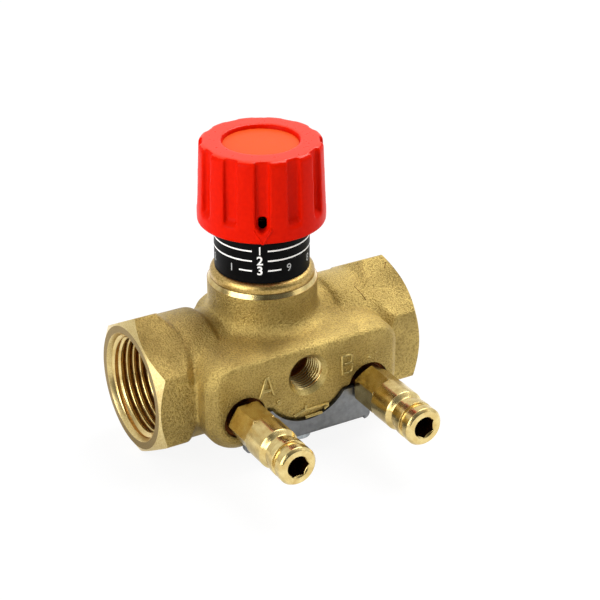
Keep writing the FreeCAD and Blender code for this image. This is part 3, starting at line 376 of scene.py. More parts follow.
def moulded_plastic(name, dark, light, rough, grain=0.06, shine=0.5):
    """Injection-moulded plastic: even colour with a faint orange peel that softens highlights."""
    material, tree, place = new_material(name)
    peel = add_node(tree, "ShaderNodeTexNoise", None,
                    {"Vector": place, "Scale": 900.0, "Detail": 2.0, "Roughness": 0.5})
    base = ramp(tree, peel.outputs["Fac"], [(0.3, dark), (0.7, light)])
    gloss = add_node(tree, "ShaderNodeMapRange", None,
                     {"Value": peel.outputs["Fac"], "From Min": 0.3, "From Max": 0.7,
                      "To Min": rough - 0.03, "To Max": rough + 0.04})
    bump = add_node(tree, "ShaderNodeBump", None,
                    {"Height": peel.outputs["Fac"], "Strength": grain, "Distance": 0.0001})
    shader = add_node(tree, "ShaderNodeBsdfPrincipled", None,
                      {"Base Color": base, "Roughness": gloss.outputs["Result"],
                       "Specular IOR Level": shine, "Normal": bump.outputs["Normal"]})
    close_material(tree, shader.outputs["BSDF"])
    return material


def plated_steel(name, dark, light, rough):
    """Zinc-plated steel: cool grey with a soft mottle from the plating bath."""
    material, tree, place = new_material(name)
    mottle = add_node(tree, "ShaderNodeTexNoise", None,
                      {"Vector": place, "Scale": 700.0, "Detail": 4.0, "Roughness": 0.6})
    base = ramp(tree, mottle.outputs["Fac"], [(0.3, dark), (0.7, light)])
    gloss = add_node(tree, "ShaderNodeMapRange", None,
                     {"Value": mottle.outputs["Fac"], "From Min": 0.3, "From Max": 0.7,
                      "To Min": rough - 0.05, "To Max": rough + 0.08})
    bump = add_node(tree, "ShaderNodeBump", None,
                    {"Height": mottle.outputs["Fac"], "Strength": 0.15, "Distance": 0.00008})
    shader = add_node(tree, "ShaderNodeBsdfPrincipled", None,
                      {"Base Color": base, "Metallic": 1.0, "Roughness": gloss.outputs["Result"],
                       "Normal": bump.outputs["Normal"]})
    close_material(tree, shader.outputs["BSDF"])
    return material


def white_share(tree, to_camera, to_metal):
    """How much of the white background camera rays see, and how much rays off metal or glass see."""
    path = add_node(tree, "ShaderNodeLightPath")
    mirrored = add_node(tree, "ShaderNodeMath", {"operation": "MAXIMUM"},
                        {0: path.outputs["Is Glossy Ray"], 1: path.outputs["Is Transmission Ray"]})
    mirrored = add_node(tree, "ShaderNodeMath", {"operation": "MULTIPLY"},
                        {0: mirrored.outputs[0], 1: to_metal})
    direct = add_node(tree, "ShaderNodeMath", {"operation": "MULTIPLY"},
                      {0: path.outputs["Is Camera Ray"], 1: to_camera})
    return add_node(tree, "ShaderNodeMath", {"operation": "MAXIMUM"},
                    {0: mirrored.outputs[0], 1: direct.outputs[0]}).outputs[0]


# Settings

class ValveLooks(bpy.types.PropertyGroup):
    """Colours a user would change."""
    brass_dark: bpy.props.StringProperty(
        name="Cast brass, dark", description="Darker tone of the casting",
        default="#99834A")
    brass_light: bpy.props.StringProperty(
        name="Cast brass, light", description="Lighter tone of the casting",
        default="#D4BA70")
    turned_dark: bpy.props.StringProperty(
        name="Turned brass, dark", description="Darker tone of turned brass",
        default="#BFA363")
    turned_light: bpy.props.StringProperty(
        name="Turned brass, light", description="Lighter tone of turned brass",
        default="#DECB8F")
    wheel_dark: bpy.props.StringProperty(
        name="Handwheel, dark", description="Darker red of the handwheel",
        default="#C81200")
    wheel_light: bpy.props.StringProperty(
        name="Handwheel, light", description="Lighter red of the handwheel",
        default="#D01600")
    # The top of the handwheel has its own lighter, shinier red: a painted sheen for the light that falls
    # on it from above
    wheel_top_dark: bpy.props.StringProperty(
        name="Handwheel top, dark", description="Darker red of the polished top",
        default="#CC2608")
    wheel_top_light: bpy.props.StringProperty(
        name="Handwheel top, light", description="Lighter red of the polished top",
        default="#D62C0A")


class ValveSizes(bpy.types.PropertyGroup):
    """Sizes of the visible details."""
    port_pitch: bpy.props.FloatProperty(
        name="Port thread pitch", description="Pitch of the pipe thread in millimetres",
        default=1.814, min=0.5, max=4.0)
    drain_pitch: bpy.props.FloatProperty(
        name="Drain thread pitch", description="Pitch of the drain thread in millimetres",
        default=0.907, min=0.3, max=3.0)
    letter_height: bpy.props.FloatProperty(
        name="Letter height", description="Height of the raised port letters",
        default=0.005, subtype="DISTANCE")
    ring_width: bpy.props.FloatProperty(
        name="Scale ring width", description="Width of the white rings on the scale",
        default=0.0004, subtype="DISTANCE")
    ring_heights: bpy.props.FloatVectorProperty(
        name="Turn heights", description="Heights of turns 1, 2 and 3 on the scale in millimetres",
        default=(34.05, 31.39, 28.73), size=3)
    scale_column: bpy.props.FloatProperty(
        name="Figure column", description="Angle of the turn figures about the stem in degrees",
        default=-121.4)
    cast_grid: bpy.props.FloatProperty(
        name="Casting grid", description="Grain of the mesh of the cast skin",
        default=0.00042, subtype="DISTANCE")
    cast_rounds: bpy.props.IntProperty(
        name="Casting softness", description="Rounds of relaxing for the cast fillets",
        default=20, min=0, max=80)
    wheel_grid: bpy.props.FloatProperty(
        name="Handwheel grid", description="Grain of the mesh of the handwheel",
        default=0.00032, subtype="DISTANCE")
    wheel_rounds: bpy.props.IntProperty(
        name="Handwheel softness", description="Rounds of relaxing for the moulded edges",
        default=9, min=0, max=40)


class VALVE_OT_materials(bpy.types.Operator):
    """Makes the materials of the valve"""
    bl_idname = "valve.materials"
    bl_label = "Make materials"

    def execute(self, context):
        looks = context.scene.valve_looks
        cast_brass(looks)
        machined_brass(looks)
        # Blasted finish for the head insert, with its tone darkened as painted shade of the black sleeve
        # above it
        blasted_brass("blasted_collar", "#94783E", "#C4A868", 0.36, 0.5)
        blasted_brass("satin_brass", "#C4AA6C", "#DCC88E", 0.34, 0.15)
        # Bored faces keep a bored finish, and their darker brown is painted shade for the inside of the
        # bores, the thread valleys and the waterways
        blasted_brass("bored_brass", "#9C6A2A", "#C49046", 0.46, 0.25)
        # Painted reflection: the end faces are dull and dark olive, standing for the dark surroundings
        # that they reflect
        blasted_brass("faced_brass", "#745E2C", "#8E763C", 0.42, 0.15)
        blasted_brass("rubbed_brass", "#A08C50", "#C4AF70", 0.42, 0.4)
        # Painted shade: a near-black brown that stands for the shade deep in the plug and screw holes, in
        # the nipple sockets, on the nipple feet in their recesses and in the fine flaw grooves
        blasted_brass("tarnished_brass", "#2A1406", "#5E3210", 0.42, 0.2)
        moulded_plastic("red_abs", looks.wheel_dark, looks.wheel_light, 0.36, 0.04, 0.03)
        # Painted sheen: the handwheel's top in a lighter red with more shine
        moulded_plastic("polished_red_abs", looks.wheel_top_dark, looks.wheel_top_light,
                        0.3, 0.03, 0.22)
        moulded_plastic("orange_abs", "#CC4612", "#D24C16", 0.44, 0.03, 0.12)
        moulded_plastic("black_polyamide", "#050506", "#0A0A0B", 0.45, 0.1, 0.04)
        moulded_plastic("white_print", "#E9E9E6", "#F4F4F1", 0.5)
        moulded_plastic("grey_print", "#A9ABAB", "#B6B8B8", 0.5)
        moulded_plastic("black_rubber", "#0C0C0C", "#161616", 0.6, 0.3)
        moulded_plastic("seal_ptfe", "#D9D9D2", "#E6E6E0", 0.45)
        plated_steel("zinc_plated_sheet", "#6A6C6E", "#838587", 0.4)
        plated_steel("bright_zinc", "#A9B2B8", "#C6CED3", 0.25)
        plated_steel("turned_steel", "#8C8C8C", "#A8A8A8", 0.28)
        return {"FINISHED"}


class VALVE_OT_casting(bpy.types.Operator):
    """Builds the cast brass body: a soft cast skin, cut by the turned faces, bores and mouths"""
    bl_idname = "valve.casting"
    bl_label = "Build the casting"

    def execute(self, context):
        skin = self.cast_skin(context.scene.valve_sizes)
        cutter = self.machining()
        paint(skin, "sand_cast_brass")
        apply_modifier(skin, "BOOLEAN", operation="DIFFERENCE", object=cutter, solver="EXACT",
                       material_mode="TRANSFER")
        bpy.data.objects.remove(cutter)
        self.open_waterways(skin)
        smooth(skin, 32)
        finish(skin, None, "valve", "cast_brass", "valve_body")
        ways = self.waterways()
        # The waterways get the darker brown of painted shade.
        finish(smooth(ways, 30), "bored_brass", "valve", "machined_brass")
        return {"FINISHED"}

    def cast_skin(self, sizes):
        """The outside as it leaves the mould, with the bores filled and the ends left long."""
        skin = solid_copy("valve_body", "casting", 0)
        extra = 1.6
        fillers = [
            rod("left_hexagon", (-extra, 0, 0), "X", HEX_FLATS / math.sqrt(3), 7.5 + extra, 6, 30),
            rod("right_hexagon", (LENGTH + extra, 0, 0), "-X", HEX_FLATS / math.sqrt(3), 7.5 + extra,
                6, 30),
            rod("left_core", (-extra, 0, 0), "X", 15.0, 16.5 + extra),
            rod("right_core", (LENGTH + extra, 0, 0), "-X", 15.0, 16.5 + extra),
            rod("neck_core", (STEM_X, 0, 13.0), "Z", 13.9, NECK_TOP - 13.0 + extra, 128),
            rod("drain_core", (STEM_X, -12.0, DRAIN_Z), "-Y", 6.4, FRONT - 12.0),
            rod("screw_core", (STEM_X, -18.3, -11.6), "Z", 2.4, 8.0),
        ]
        for side, x in NIPPLES:
            fillers.append(rod("tap_core_" + side, (x, -11.0, NIPPLE_Z), "-Y", 6.0, 10.8))
            fillers.append(block("spot_core_" + side, (x - 6.0, -FRONT, NIPPLE_Z + 0.5),
                                 (x + 6.0, -20.0, 3.5)))
        join(skin, *fillers)
        skin = apply_modifier(skin, "REMESH", mode="VOXEL", voxel_size=sizes.cast_grid,
                              adaptivity=0.0)
        soften(skin, 4)

        def in_the_middle(x, y, z):
            along = min(x - CLEAN_START, LENGTH - CLEAN_START - x) / 2.5
            return min(along, (20.0 - z) / 3.0)
        soften(skin, sizes.cast_rounds, weigh(skin, "middle", in_the_middle))
        skin.vertex_groups.clear()
        return skin

    def machining(self):
        """One tool for all the cuts: both ends, the neck, the drain hole and the plug holes."""
        end = [(0, -4), (22.5, -4), (22.5, 4.29), (15.8, 0), (14.0, 0), (PORT_THREAD, 1.25),
               (PORT_THREAD, BORE_DEPTH), (0, BORE_DEPTH)]
        tools = [
            stand(turned_solid("end_tool_a", end, 160), (0, 0, 0), "X"),
            stand(turned_solid("end_tool_b", end, 160), (LENGTH, 0, 0), "-X"),
            stand(turned_solid("neck_tool", [(0, 13.6), (NECK_BORE, 13.6), (NECK_BORE, NECK_TOP),
                                             (13.2, NECK_TOP), (13.82, 21.7), (17.5, 21.7),
                                             (17.5, 26), (0, 26)], 160), (STEM_X, 0, 0), "Z"),
            stand(turned_solid("drain_tool", [(0, -2), (5.6, -2), (5.6, 0), (4.5, 1.05), (SMALL_HOLE, 1.3),
                                              (SMALL_HOLE, 9.4), (0, 9.4)], 96),
                  (STEM_X, -FRONT, DRAIN_Z), "Y"),
        ]
        for side, x in NIPPLES:
            tools.append(stand(turned_solid("plug_tool_" + side, [
                (0, -4), (5.6, -4), (5.6, 1.2), (SMALL_HOLE, 1.2), (SMALL_HOLE, 10.4), (0, 10.4)], 96),
                (x, -FRONT, NIPPLE_Z), "Y"))
        tools.append(rod("screw_tool", (STEM_X, -18.3, -13.0), "Z", 2.08, 8.5))
        for tool in tools:
            self.finish_cuts(tool)
        return join(*tools)

    def finish_cuts(self, tool):
        """Satin or bright cones, dull dark ends as painted reflection, bores in a darker brown of painted
        shade, and painted shade in the holes for the plugs and the screw.
        """
        if "plug" in tool.name or "screw" in tool.name:
            paint(tool, "tarnished_brass")
            return
        cone = {"end": "satin_brass", "drain": "rubbed_brass", "neck": "turned_brass"}
        paint(tool, "bored_brass", cone[tool.name.split("_")[0]], "faced_brass")
        along = Vector((0, 0, 1)) if "neck" in tool.name else Vector((1, 0, 0))
        along = Vector((0, 1, 0)) if "drain" in tool.name else along
        for face in tool.data.polygons:
            slope = abs(face.normal.dot(along))
            if 0.1 < slope < 0.95:
                face.material_index = 1
            elif "end" in tool.name and slope > 0.95:
                face.material_index = 2

    def open_waterways(self, skin):
        """Takes the blind ends off the port bores, so that the way inside shows."""
        mesh = bmesh.new()
        mesh.from_mesh(skin.data)
        blind = [f for f in mesh.faces
                 if abs(min(f.calc_center_median().x, LENGTH * MM - f.calc_center_median().x)
                        - BORE_DEPTH * MM) < 1e-5
                 and abs(f.normal.x) > 0.99 and math.hypot(*f.calc_center_median().yz) < 13.3 * MM]
        bmesh.ops.delete(mesh, geom=blind, context="FACES")
        mesh.to_mesh(skin.data)
        mesh.free()

    def waterways(self):
        """The inside of the body beyond the port threads: channels, bridge, seat and chamber."""
        ways = solid_copy("valve_body", "waterways", 0)
        mesh = bmesh.new()
        mesh.from_mesh(ways.data)

        def inside(face):
            x, y, z = face.calc_center_median() / MM
            from_stem = math.hypot(x - STEM_X, y)
            if 14.3 < min(x, LENGTH - x) < 14.6:
                return math.hypot(y, z) < 13.4
            in_channel = 14.3 < x < LENGTH - 14.3 and math.hypot(y, z) < 13.4 and abs(z) < 10.9
            in_chamber = from_stem < 11.4 and -9.0 < z < 23.5
            return (in_channel or in_chamber) and y > -13.0
        outside = [face for face in mesh.faces if not inside(face)]
        bmesh.ops.delete(mesh, geom=outside, context="FACES")
        mesh.to_mesh(ways.data)
        mesh.free()
        return ways


class VALVE_OT_port_threads(bpy.types.Operator):
    """Cuts the visible pipe threads in both ports and in the drain hole"""
    bl_idname = "valve.port_threads"
    bl_label = "Cut the threads"

    def execute(self, context):
        sizes = context.scene.valve_sizes
        for side, x, axis in (("a", 0.0, "X"), ("b", LENGTH, "-X")):
            thread = internal_thread("port_thread_" + side, 13.26, 12.1, sizes.port_pitch, 7,
                                     1.2, 0.9)
            finish(stand(thread, (x, 0, 0), axis), None, "valve", "machined_brass")
        drain = internal_thread("drain_thread", 4.89, 4.2, sizes.drain_pitch, 9, 1.3, 0.5)
        finish(stand(drain, (STEM_X, -FRONT, DRAIN_Z), "Y"), None, "valve", "machined_brass")
        return {"FINISHED"}


def internal_thread(name, major, minor, pitch, turns, start, growth):
    """A rounded ridge down a hole whose mouth is at Z = 0; both its ends run out into the wall."""
    shape = [(major, 0.0), (major, 0.06), (minor + 0.12, 0.34), (minor, 0.42), (minor, 0.58),
             (minor + 0.12, 0.66), (major, 0.94), (major, 1.0)]
    thread = turned_profile(name, [(r, h * pitch) for r, h in shape], 96, pitch, turns)
    end = (turns + 1) * pitch - 0.35
    for vertex in thread.data.vertices:
        depth = vertex.co.z / MM
        grown = max(0.0, min(1.0, (depth - start) / growth, (end - depth) / growth))
        radius = math.hypot(vertex.co.x, vertex.co.y) / MM
        wanted = major - (major - radius) * grown
        vertex.co.x *= wanted / radius
        vertex.co.y *= wanted / radius
        vertex.co.z = max(vertex.co.z, start * MM)
    pick(thread)
    bpy.ops.object.mode_set(mode="EDIT")
    bpy.ops.mesh.select_all(action="SELECT")
    bpy.ops.mesh.remove_doubles(threshold=1e-6)
    bpy.ops.mesh.flip_normals()
    bpy.ops.object.mode_set(mode="OBJECT")
    # Painted highlight and shade: the crests and the flanks facing the mouth get the pale turned brass,
    # the valleys the darker brown
    paint(thread, "bored_brass", "turned_brass")
    for face in thread.data.polygons:
        crest = math.hypot(face.center.x, face.center.y) / MM < minor + 0.2 * (major - minor)
        if crest or face.normal.z < -0.25:
            face.material_index = 1
    return smooth(thread, 60)


def wrap_on_scale(thing, angle, height):
    """Wraps a flat mark, drawn in mm about its own origin, round the scale at an angle and height."""
    radius = SCALE_RADIUS + PRINT_HEIGHT
    for vertex in thing.data.vertices:
        turn = math.radians(angle) + vertex.co.x / MM / radius
        up = height + vertex.co.y / MM
        vertex.co = ((STEM_X + radius * math.cos(turn)) * MM, radius * math.sin(turn) * MM, up * MM)
    return thing


def figure(name, text, height, weight=0.0):
    """A flat printed figure of this height in mm, centred on its own origin."""
    clear_selection()
    bpy.ops.object.text_add()
    thing = bpy.context.object
    thing.name = name
    thing.data.body = text
    thing.data.size = height * MM / 0.7
    thing.data.offset = weight * MM
    thing.data.align_x = "CENTER"
    thing.data.align_y = "CENTER"
    thing.data.resolution_u = 6
    bpy.ops.object.convert(target="MESH")
    return settle(bpy.context.object)


def printed_bar(name, width, height):
    """A flat printed bar in mm, cut into short steps so that it can follow the scale."""
    clear_selection()
    steps = max(2, int(width * 1.5))
    bpy.ops.mesh.primitive_grid_add(x_subdivisions=steps, y_subdivisions=1, size=1.0)
    thing = bpy.context.object
    thing.name = name
    thing.scale = (width * MM, height * MM, 1.0)
    return settle(thing)


class VALVE_OT_head(bpy.types.Operator):
    """Builds the head insert, the black scale and the stem seals"""
    bl_idname = "valve.head"
    bl_label = "Build the head"

    def execute(self, context):
        insert = round_edges(solid_copy("head_insert", "insert"), 0.18)
        finish(insert, "blasted_collar", "valve", "machined_brass", "head_insert")
        sleeve = smooth(solid_copy("scale_ring", "scale_sleeve"), 30)
        finish(sleeve, "black_polyamide", "valve", "black_plastic", "scale_ring")
        for node, material, slot in (("head_o_ring", "black_rubber", "rubber"),
                                     ("spindle_o_ring_lower", "black_rubber", "rubber"),
                                     ("spindle_o_ring_upper", "black_rubber", "rubber"),
                                     ("stop_ring", "turned_steel", "spindle_steel")):
            finish(smooth(solid_copy(node, node + "_piece")), material, "valve", slot, node)
        return {"FINISHED"}


class VALVE_OT_scale_print(bpy.types.Operator):
    """Prints the turn rings, the turn figures and the tenths on the scale"""
    bl_idname = "valve.scale_print"
    bl_label = "Print the scale"

    def execute(self, context):
        sizes = context.scene.valve_sizes
        column = sizes.scale_column
        line = sizes.ring_width / MM
        whites = []
        greys = []
        girth = 2 * math.pi * (SCALE_RADIUS + PRINT_HEIGHT)
        gap = 3.9
        for number, height in enumerate(sizes.ring_heights):
            if number < 2:
                ring = printed_bar("turn_ring", girth - gap, line)
                whites.append(wrap_on_scale(ring, column + 180.0, height))
                continue
            for side in (-1, 1):
                dash = printed_bar("turn_dash", 3.4, line)
                turn = math.degrees((gap / 2 + 1.7) / SCALE_RADIUS)
                whites.append(wrap_on_scale(dash, column + side * turn, height))
        for text, height in zip("123", sizes.ring_heights):
            weight = 0.0 if text == "1" else 0.07
            whites.append(wrap_on_scale(figure("turn_figure", text, 2.25, weight), column, height))
        for tenth in range(1, 10):
            mark = figure("tenth_figure", str(tenth), 2.05)
            greys.append(wrap_on_scale(mark, column - 36.0 * tenth, sizes.ring_heights[2]))
        finish(join(*whites), "white_print", "valve", None)
        finish(join(*greys), "grey_print", "valve", None)
        return {"FINISHED"}


def ridge(points, radius):
    """A round bead of this radius along points in mm, to be half sunk in a surface."""
    clear_selection()
    bpy.ops.curve.primitive_nurbs_path_add()
    thing = bpy.context.object
    thing.data.splines.clear()
    spline = thing.data.splines.new("POLY")
    spline.points.add(len(points) - 1)
    for point, place in zip(spline.points, points):
        point.co = [c * MM for c in place] + [1.0]
    thing.data.dimensions = "3D"
    thing.data.bevel_depth = radius * MM
    thing.data.bevel_resolution = 3
    thing.data.use_fill_caps = True
    bpy.ops.object.convert(target="MESH")
    return settle(bpy.context.object)


class VALVE_OT_cast_marks(bpy.types.Operator):
    """Raises the port letters and the flow arrow, and draws the two fine flaws on the right barrel"""
    bl_idname = "valve.cast_marks"
    bl_label = "Raise the cast marks"

    def execute(self, context):
        height = context.scene.valve_sizes.letter_height / MM
        half = height / 2
        letter_a = [[(-0.36, -0.5), (-0.02, 0.5), (0.06, 0.5), (0.36, -0.5)],
                    [(-0.24, -0.2), (0.24, -0.2)]]
        letter_b = [[(-0.28, -0.5), (-0.28, 0.5), (0.14, 0.5), (0.26, 0.4), (0.27, 0.14),
                     (0.16, 0.03), (-0.2, 0.03)],
                    [(0.16, 0.03), (0.3, -0.08), (0.3, -0.4), (0.18, -0.5), (-0.28, -0.5)]]
        arrow = [[(4.5, -3.5), (5.6, -2.9), (5.6, -2.3), (-0.8, -2.4), (-0.8, -0.9)],
                 [(-0.9, -2.2), (-4.1, -3.3)], [(-0.9, -4.5), (3.9, -4.4)]]
        marks = []
        for lines, x, z, scale in ((letter_a, -11.7, 4.1, height), (letter_b, 11.2, 4.1, height),
                                   (arrow, 0.0, -3.1, 1.0)):
            for points in lines:
                marks.append(ridge([(STEM_X + x + a * scale, -FRONT, z + b * scale)
                                    for a, b in points], 0.45))
        for x, z, radius in ((-8.4, -1.1, 0.75), (-5.5, -4.5, 0.4), (17.6, 4.3, 0.5),
                             (19.7, 5.2, 0.35)):
            marks.append(self.pimple(STEM_X + x, z, radius))
        finish(smooth(join(*marks), 60), "rubbed_brass", "valve", "cast_brass")
        # The flaws are thin tubes in the near-black brown of painted shade, standing for the shade in fine
        # grooves
        flaws = [ridge(points, 0.11) for points in (
            [(61.2, -5.7, 15.03), (61.6, -7.3, 14.3), (62.0, -8.7, 13.5), (62.2, -9.9, 12.7)],
            [(71.7, -3.6, 16.74), (73.0, -2.1, 17.57)])]
        finish(join(*flaws), "tarnished_brass", "valve", "cast_brass")
        return {"FINISHED"}

    def pimple(self, x, z, radius):
        """A small cast bead on the front face."""
        clear_selection()
        bpy.ops.mesh.primitive_uv_sphere_add(segments=16, ring_count=8, radius=radius * MM,
                                             location=(x * MM, -FRONT * MM, z * MM),
                                             scale=(1, 0.75, 1))
        return settle(bpy.context.object)


class VALVE_OT_knob(bpy.types.Operator):
    """Builds the handwheel, its cap and the screw under it"""
    bl_idname = "valve.knob"
    bl_label = "Build the handwheel"

    def execute(self, context):
        sizes = context.scene.valve_sizes
        wheel = solid_copy("knob", "knob_piece", 0)
        apply_modifier(wheel, "REMESH", mode="VOXEL", voxel_size=sizes.wheel_grid, adaptivity=0.0)
        soften(wheel, sizes.wheel_rounds)
        join(wheel, *[self.pointer_edge(side) for side in (-1, 1)])
        paint(wheel, "red_abs", "polished_red_abs")
        # Upward faces at the top get the lighter red of the painted sheen
        for face in wheel.data.polygons:
            if face.normal.z > 0.8 and face.center.z > 57.0 * MM:
                face.material_index = 1
        finish(smooth(wheel, 60), None, "stem", "red_plastic", "knob")
        for node, material, slot in (("knob_cap", "orange_abs", "orange_plastic"),
                                     ("knob_screw", "bright_zinc", "zinc_steel")):
            finish(smooth(solid_copy(node, node + "_piece"), 30), material, "stem", slot, node)
        return {"FINISHED"}

    def pointer_edge(self, side):
        """One raised edge of the pointer that reads the scale, on the band of the wheel."""
        points = []
        for step in range(5):
            aside = side * 2.1 * (1 - step / 4)
            turn = math.radians(POINTER_ANGLE) + aside / POINTER_RADIUS
            points.append((STEM_X + POINTER_RADIUS * math.cos(turn),
                           POINTER_RADIUS * math.sin(turn), 41.6 - 3.6 * step / 4))
        return ridge(points, 0.3)


class VALVE_OT_spindle(bpy.types.Operator):
    """Builds the spindle, the presetting parts and the valve cone"""
    bl_idname = "valve.spindle"
    bl_label = "Build the spindle"

    def execute(self, context):
        for node, material, body, slot in (
                ("shut_off_spindle", "turned_brass", "stem", "machined_brass"),
                ("cone_clip", "turned_steel", "stem", "spindle_steel"),
                ("setting_clip", "turned_steel", "stem", "spindle_steel"),
                ("setting_spindle", "turned_steel", "setting", "spindle_steel"),
                ("stop_bar", "turned_steel", "stop", "spindle_steel"),
                ("valve_cone", "turned_brass", "cone", "machined_brass"),
                ("cone_nut", "turned_brass", "cone", "machined_brass"),
                ("cone_seal", "seal_ptfe", "cone", "seal_plastic")):
            finish(smooth(solid_copy(node, node + "_piece"), 30), material, body, slot, node)
        return {"FINISHED"}


class VALVE_OT_nipples(bpy.types.Operator):
    """Builds the two test nipples with their inner parts"""
    bl_idname = "valve.nipples"
    bl_label = "Build the test nipples"

    def execute(self, context):
        for side, x in NIPPLES:
            for node, material, body, slot in (
                    ("test_plug_", "turned_brass", "valve", "machined_brass"),
                    ("plug_bush_", "turned_brass", "valve", "machined_brass"),
                    ("plug_spring_", "turned_steel", "valve", "spindle_steel"),
                    ("plug_o_ring_", "black_rubber", "valve", "rubber"),
                    ("plug_poppet_", "turned_steel", "poppet_" + side, "spindle_steel")):
                name = node + side
                piece = solid_copy(name, name + "_piece")
                if node == "test_plug_":
                    # The second slot holds the painted shade for the socket and the recessed foot.
                    paint(piece, material, "tarnished_brass")
                    self.countersink(piece, x)
                    self.darken_hidden(round_edges(piece, 0.08), x)
                    finish(piece, None, body, slot, name)
                else:
                    finish(smooth(piece, 30), material, body, slot, name)
                if node == "plug_spring_":
                    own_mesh(piece)
        return {"FINISHED"}

    def countersink(self, plug, x):
        """Breaks the mouth of the hexagon socket with a cone as wide as its corners."""
        tool = turned_solid("socket_tool", [(0, -0.5), (3.45, -0.5), (2.45, 0.5), (0, 0.5)], 64)
        stand(tool, (x, -48.6, NIPPLE_Z), "Y")
        paint(tool, "turned_brass")
        apply_modifier(plug, "BOOLEAN", operation="DIFFERENCE", object=tool, solver="EXACT",
                       material_mode="TRANSFER")
        bpy.data.objects.remove(tool)

    def darken_hidden(self, plug, x):
        """Paints shade on the hexagon socket and on the foot in its recess, in the near-black brown of
        painted shade.
        """
        for face in plug.data.polygons:
            y = face.center.y / MM
            from_axis = math.hypot(face.center.x / MM - x, face.center.z / MM - NIPPLE_Z)
            if (from_axis < 2.9 and y > -48.15 and face.normal.y > -0.5) or y > -23.8:
                face.material_index = 1


class VALVE_OT_plate(bpy.types.Operator):
    """Builds the locking plate and its screw"""
    bl_idname = "valve.plate"
    bl_label = "Build the locking plate"

    def execute(self, context):
        for node, material, slot in (("locking_plate", "zinc_plated_sheet", "grey_steel"),
                                     ("plate_screw", "bright_zinc", "zinc_steel")):
            finish(smooth(solid_copy(node, node + "_piece"), 30), material, "valve", slot, node)
        return {"FINISHED"}


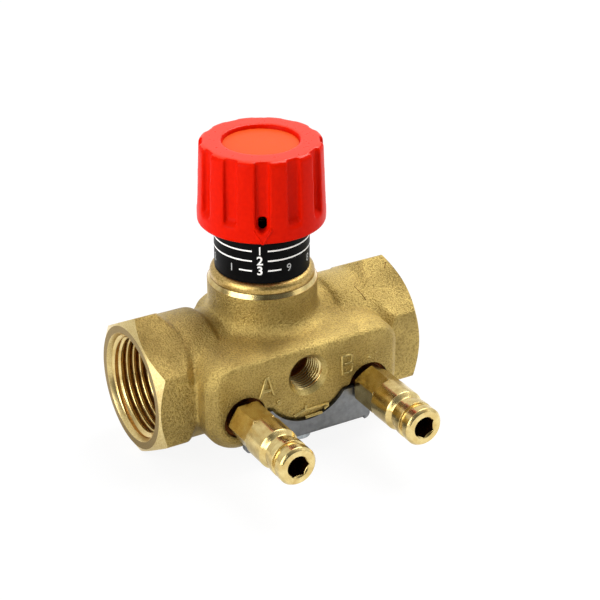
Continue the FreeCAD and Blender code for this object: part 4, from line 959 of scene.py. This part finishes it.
class VALVE_OT_stage(bpy.types.Operator):
    """Sets the camera, the lamps, the world and the floor"""
    bl_idname = "valve.stage"
    bl_label = "Set the stage"

    def execute(self, context):
        scene = context.scene
        scene.view_settings.view_transform = "Standard"
        lens = bpy.data.cameras.new("view")
        lens.lens = 110.83
        lens.sensor_width = 36.0
        camera = bpy.data.objects.new("view", lens)
        scene.collection.objects.link(camera)
        right = Vector((0.86487, -0.50200, 0.0))
        up = Vector((0.23036, 0.39688, 0.88851))
        back = Vector((-0.44603, -0.76844, 0.45889))
        turn = Matrix((right, up, back)).transposed().to_4x4()
        camera.matrix_world = Matrix.Translation((-0.16264, -0.36373, 0.22906)) @ turn
        scene.camera = camera
        aim_at = Vector((STEM_X * MM, 0, 0.02))
        for name, place, size, power in (
                ("key", (-0.66, -0.16, 0.32), 0.60, 5.9),
                ("fill", (0.46, -0.34, 0.26), 0.24, 0.2),
                ("top", (0.30, 0.06, 0.52), 0.42, 3.3)):
            lamp = bpy.data.lights.new(name, "AREA")
            lamp.shape = "SQUARE"
            lamp.size = size
            lamp.energy = power
            holder = bpy.data.objects.new(name, lamp)
            scene.collection.objects.link(holder)
            aim_back = Vector(place) - aim_at
            holder.matrix_world = (Matrix.Translation(place)
                                   @ aim_back.to_track_quat("Z", "Y").to_matrix().to_4x4())
        world = bpy.data.worlds.new("studio")
        scene.world = world
        world.use_nodes = True
        tree = world.node_tree
        tree.nodes.clear()
        direction = add_node(tree, "ShaderNodeTexCoord").outputs["Generated"]
        backdrop = add_node(tree, "ShaderNodeVectorMath", {"operation": "DOT_PRODUCT"},
                            {0: direction, 1: (0.46, 0.79, 0.40)}).outputs["Value"]
        room = ramp(tree, add_node(tree, "ShaderNodeMapRange", None,
                                   {"Value": backdrop, "From Min": -1.0, "From Max": 1.0}
                                   ).outputs["Result"],
                    [(0.0, "#484848"), (0.34, "#6A6A6A"), (0.5, "#B0B0B0"), (0.72, "#FFFFFF")])
        lit = add_node(tree, "ShaderNodeBackground", None, {"Color": room, "Strength": 0.9})
        seen = add_node(tree, "ShaderNodeBackground", None, {"Color": (1, 1, 1, 1), "Strength": 1.0})
        behind = add_node(tree, "ShaderNodeMapRange", None,
                          {"Value": backdrop, "From Min": 0.1, "From Max": 0.6}).outputs["Result"]
        mixed = add_node(tree, "ShaderNodeMixShader", None,
                         {0: white_share(tree, 1.0, behind), 1: lit.outputs[0], 2: seen.outputs[0]})
        add_node(tree, "ShaderNodeOutputWorld", None, {"Surface": mixed.outputs[0]})
        clear_selection()
        bpy.ops.mesh.primitive_plane_add(size=6.0, location=(STEM_X * MM, 0, solid_box[0][2]))
        floor = bpy.context.object
        floor.name = "floor"
        settle(floor)
        material, tree, place = new_material("pale_floor")
        paper = add_node(tree, "ShaderNodeBsdfDiffuse", None, {"Color": tint("#F4F4F4")})
        white = add_node(tree, "ShaderNodeEmission", None, {"Color": (1, 1, 1, 1), "Strength": 1.0})
        mixed = add_node(tree, "ShaderNodeMixShader", None,
                         {0: white_share(tree, 0.9, 0.3), 1: paper.outputs[0], 2: white.outputs[0]})
        close_material(tree, mixed.outputs[0])
        floor.data.materials.append(material)
        return {"FINISHED"}


STEPS = (VALVE_OT_materials, VALVE_OT_casting, VALVE_OT_cast_marks, VALVE_OT_port_threads,
         VALVE_OT_head, VALVE_OT_scale_print, VALVE_OT_knob, VALVE_OT_spindle, VALVE_OT_nipples,
         VALVE_OT_plate, VALVE_OT_stage)


class VALVE_PT_panel(bpy.types.Panel):
    """Lists the steps that build the valve"""
    bl_idname = "VALVE_PT_panel"
    bl_label = "Balancing valve"
    bl_space_type = "VIEW_3D"
    bl_region_type = "UI"
    bl_category = "Valve"

    def draw(self, context):
        for group in (context.scene.valve_looks, context.scene.valve_sizes):
            for name in type(group).__annotations__:
                self.layout.prop(group, name)
        for step in STEPS:
            self.layout.operator(step.bl_idname)


CLASSES = (ValveLooks, ValveSizes) + STEPS + (VALVE_PT_panel,)


def register():
    for item in CLASSES:
        bpy.utils.register_class(item)
    bpy.types.Scene.valve_looks = bpy.props.PointerProperty(type=ValveLooks)
    bpy.types.Scene.valve_sizes = bpy.props.PointerProperty(type=ValveSizes)


def unregister():
    del bpy.types.Scene.valve_sizes
    del bpy.types.Scene.valve_looks
    for item in reversed(CLASSES):
        bpy.utils.unregister_class(item)


def main():
    register()
    for step in STEPS:
        group, name = step.bl_idname.split(".")
        getattr(getattr(bpy.ops, group), name)()


if __name__ == "__main__":
    main()
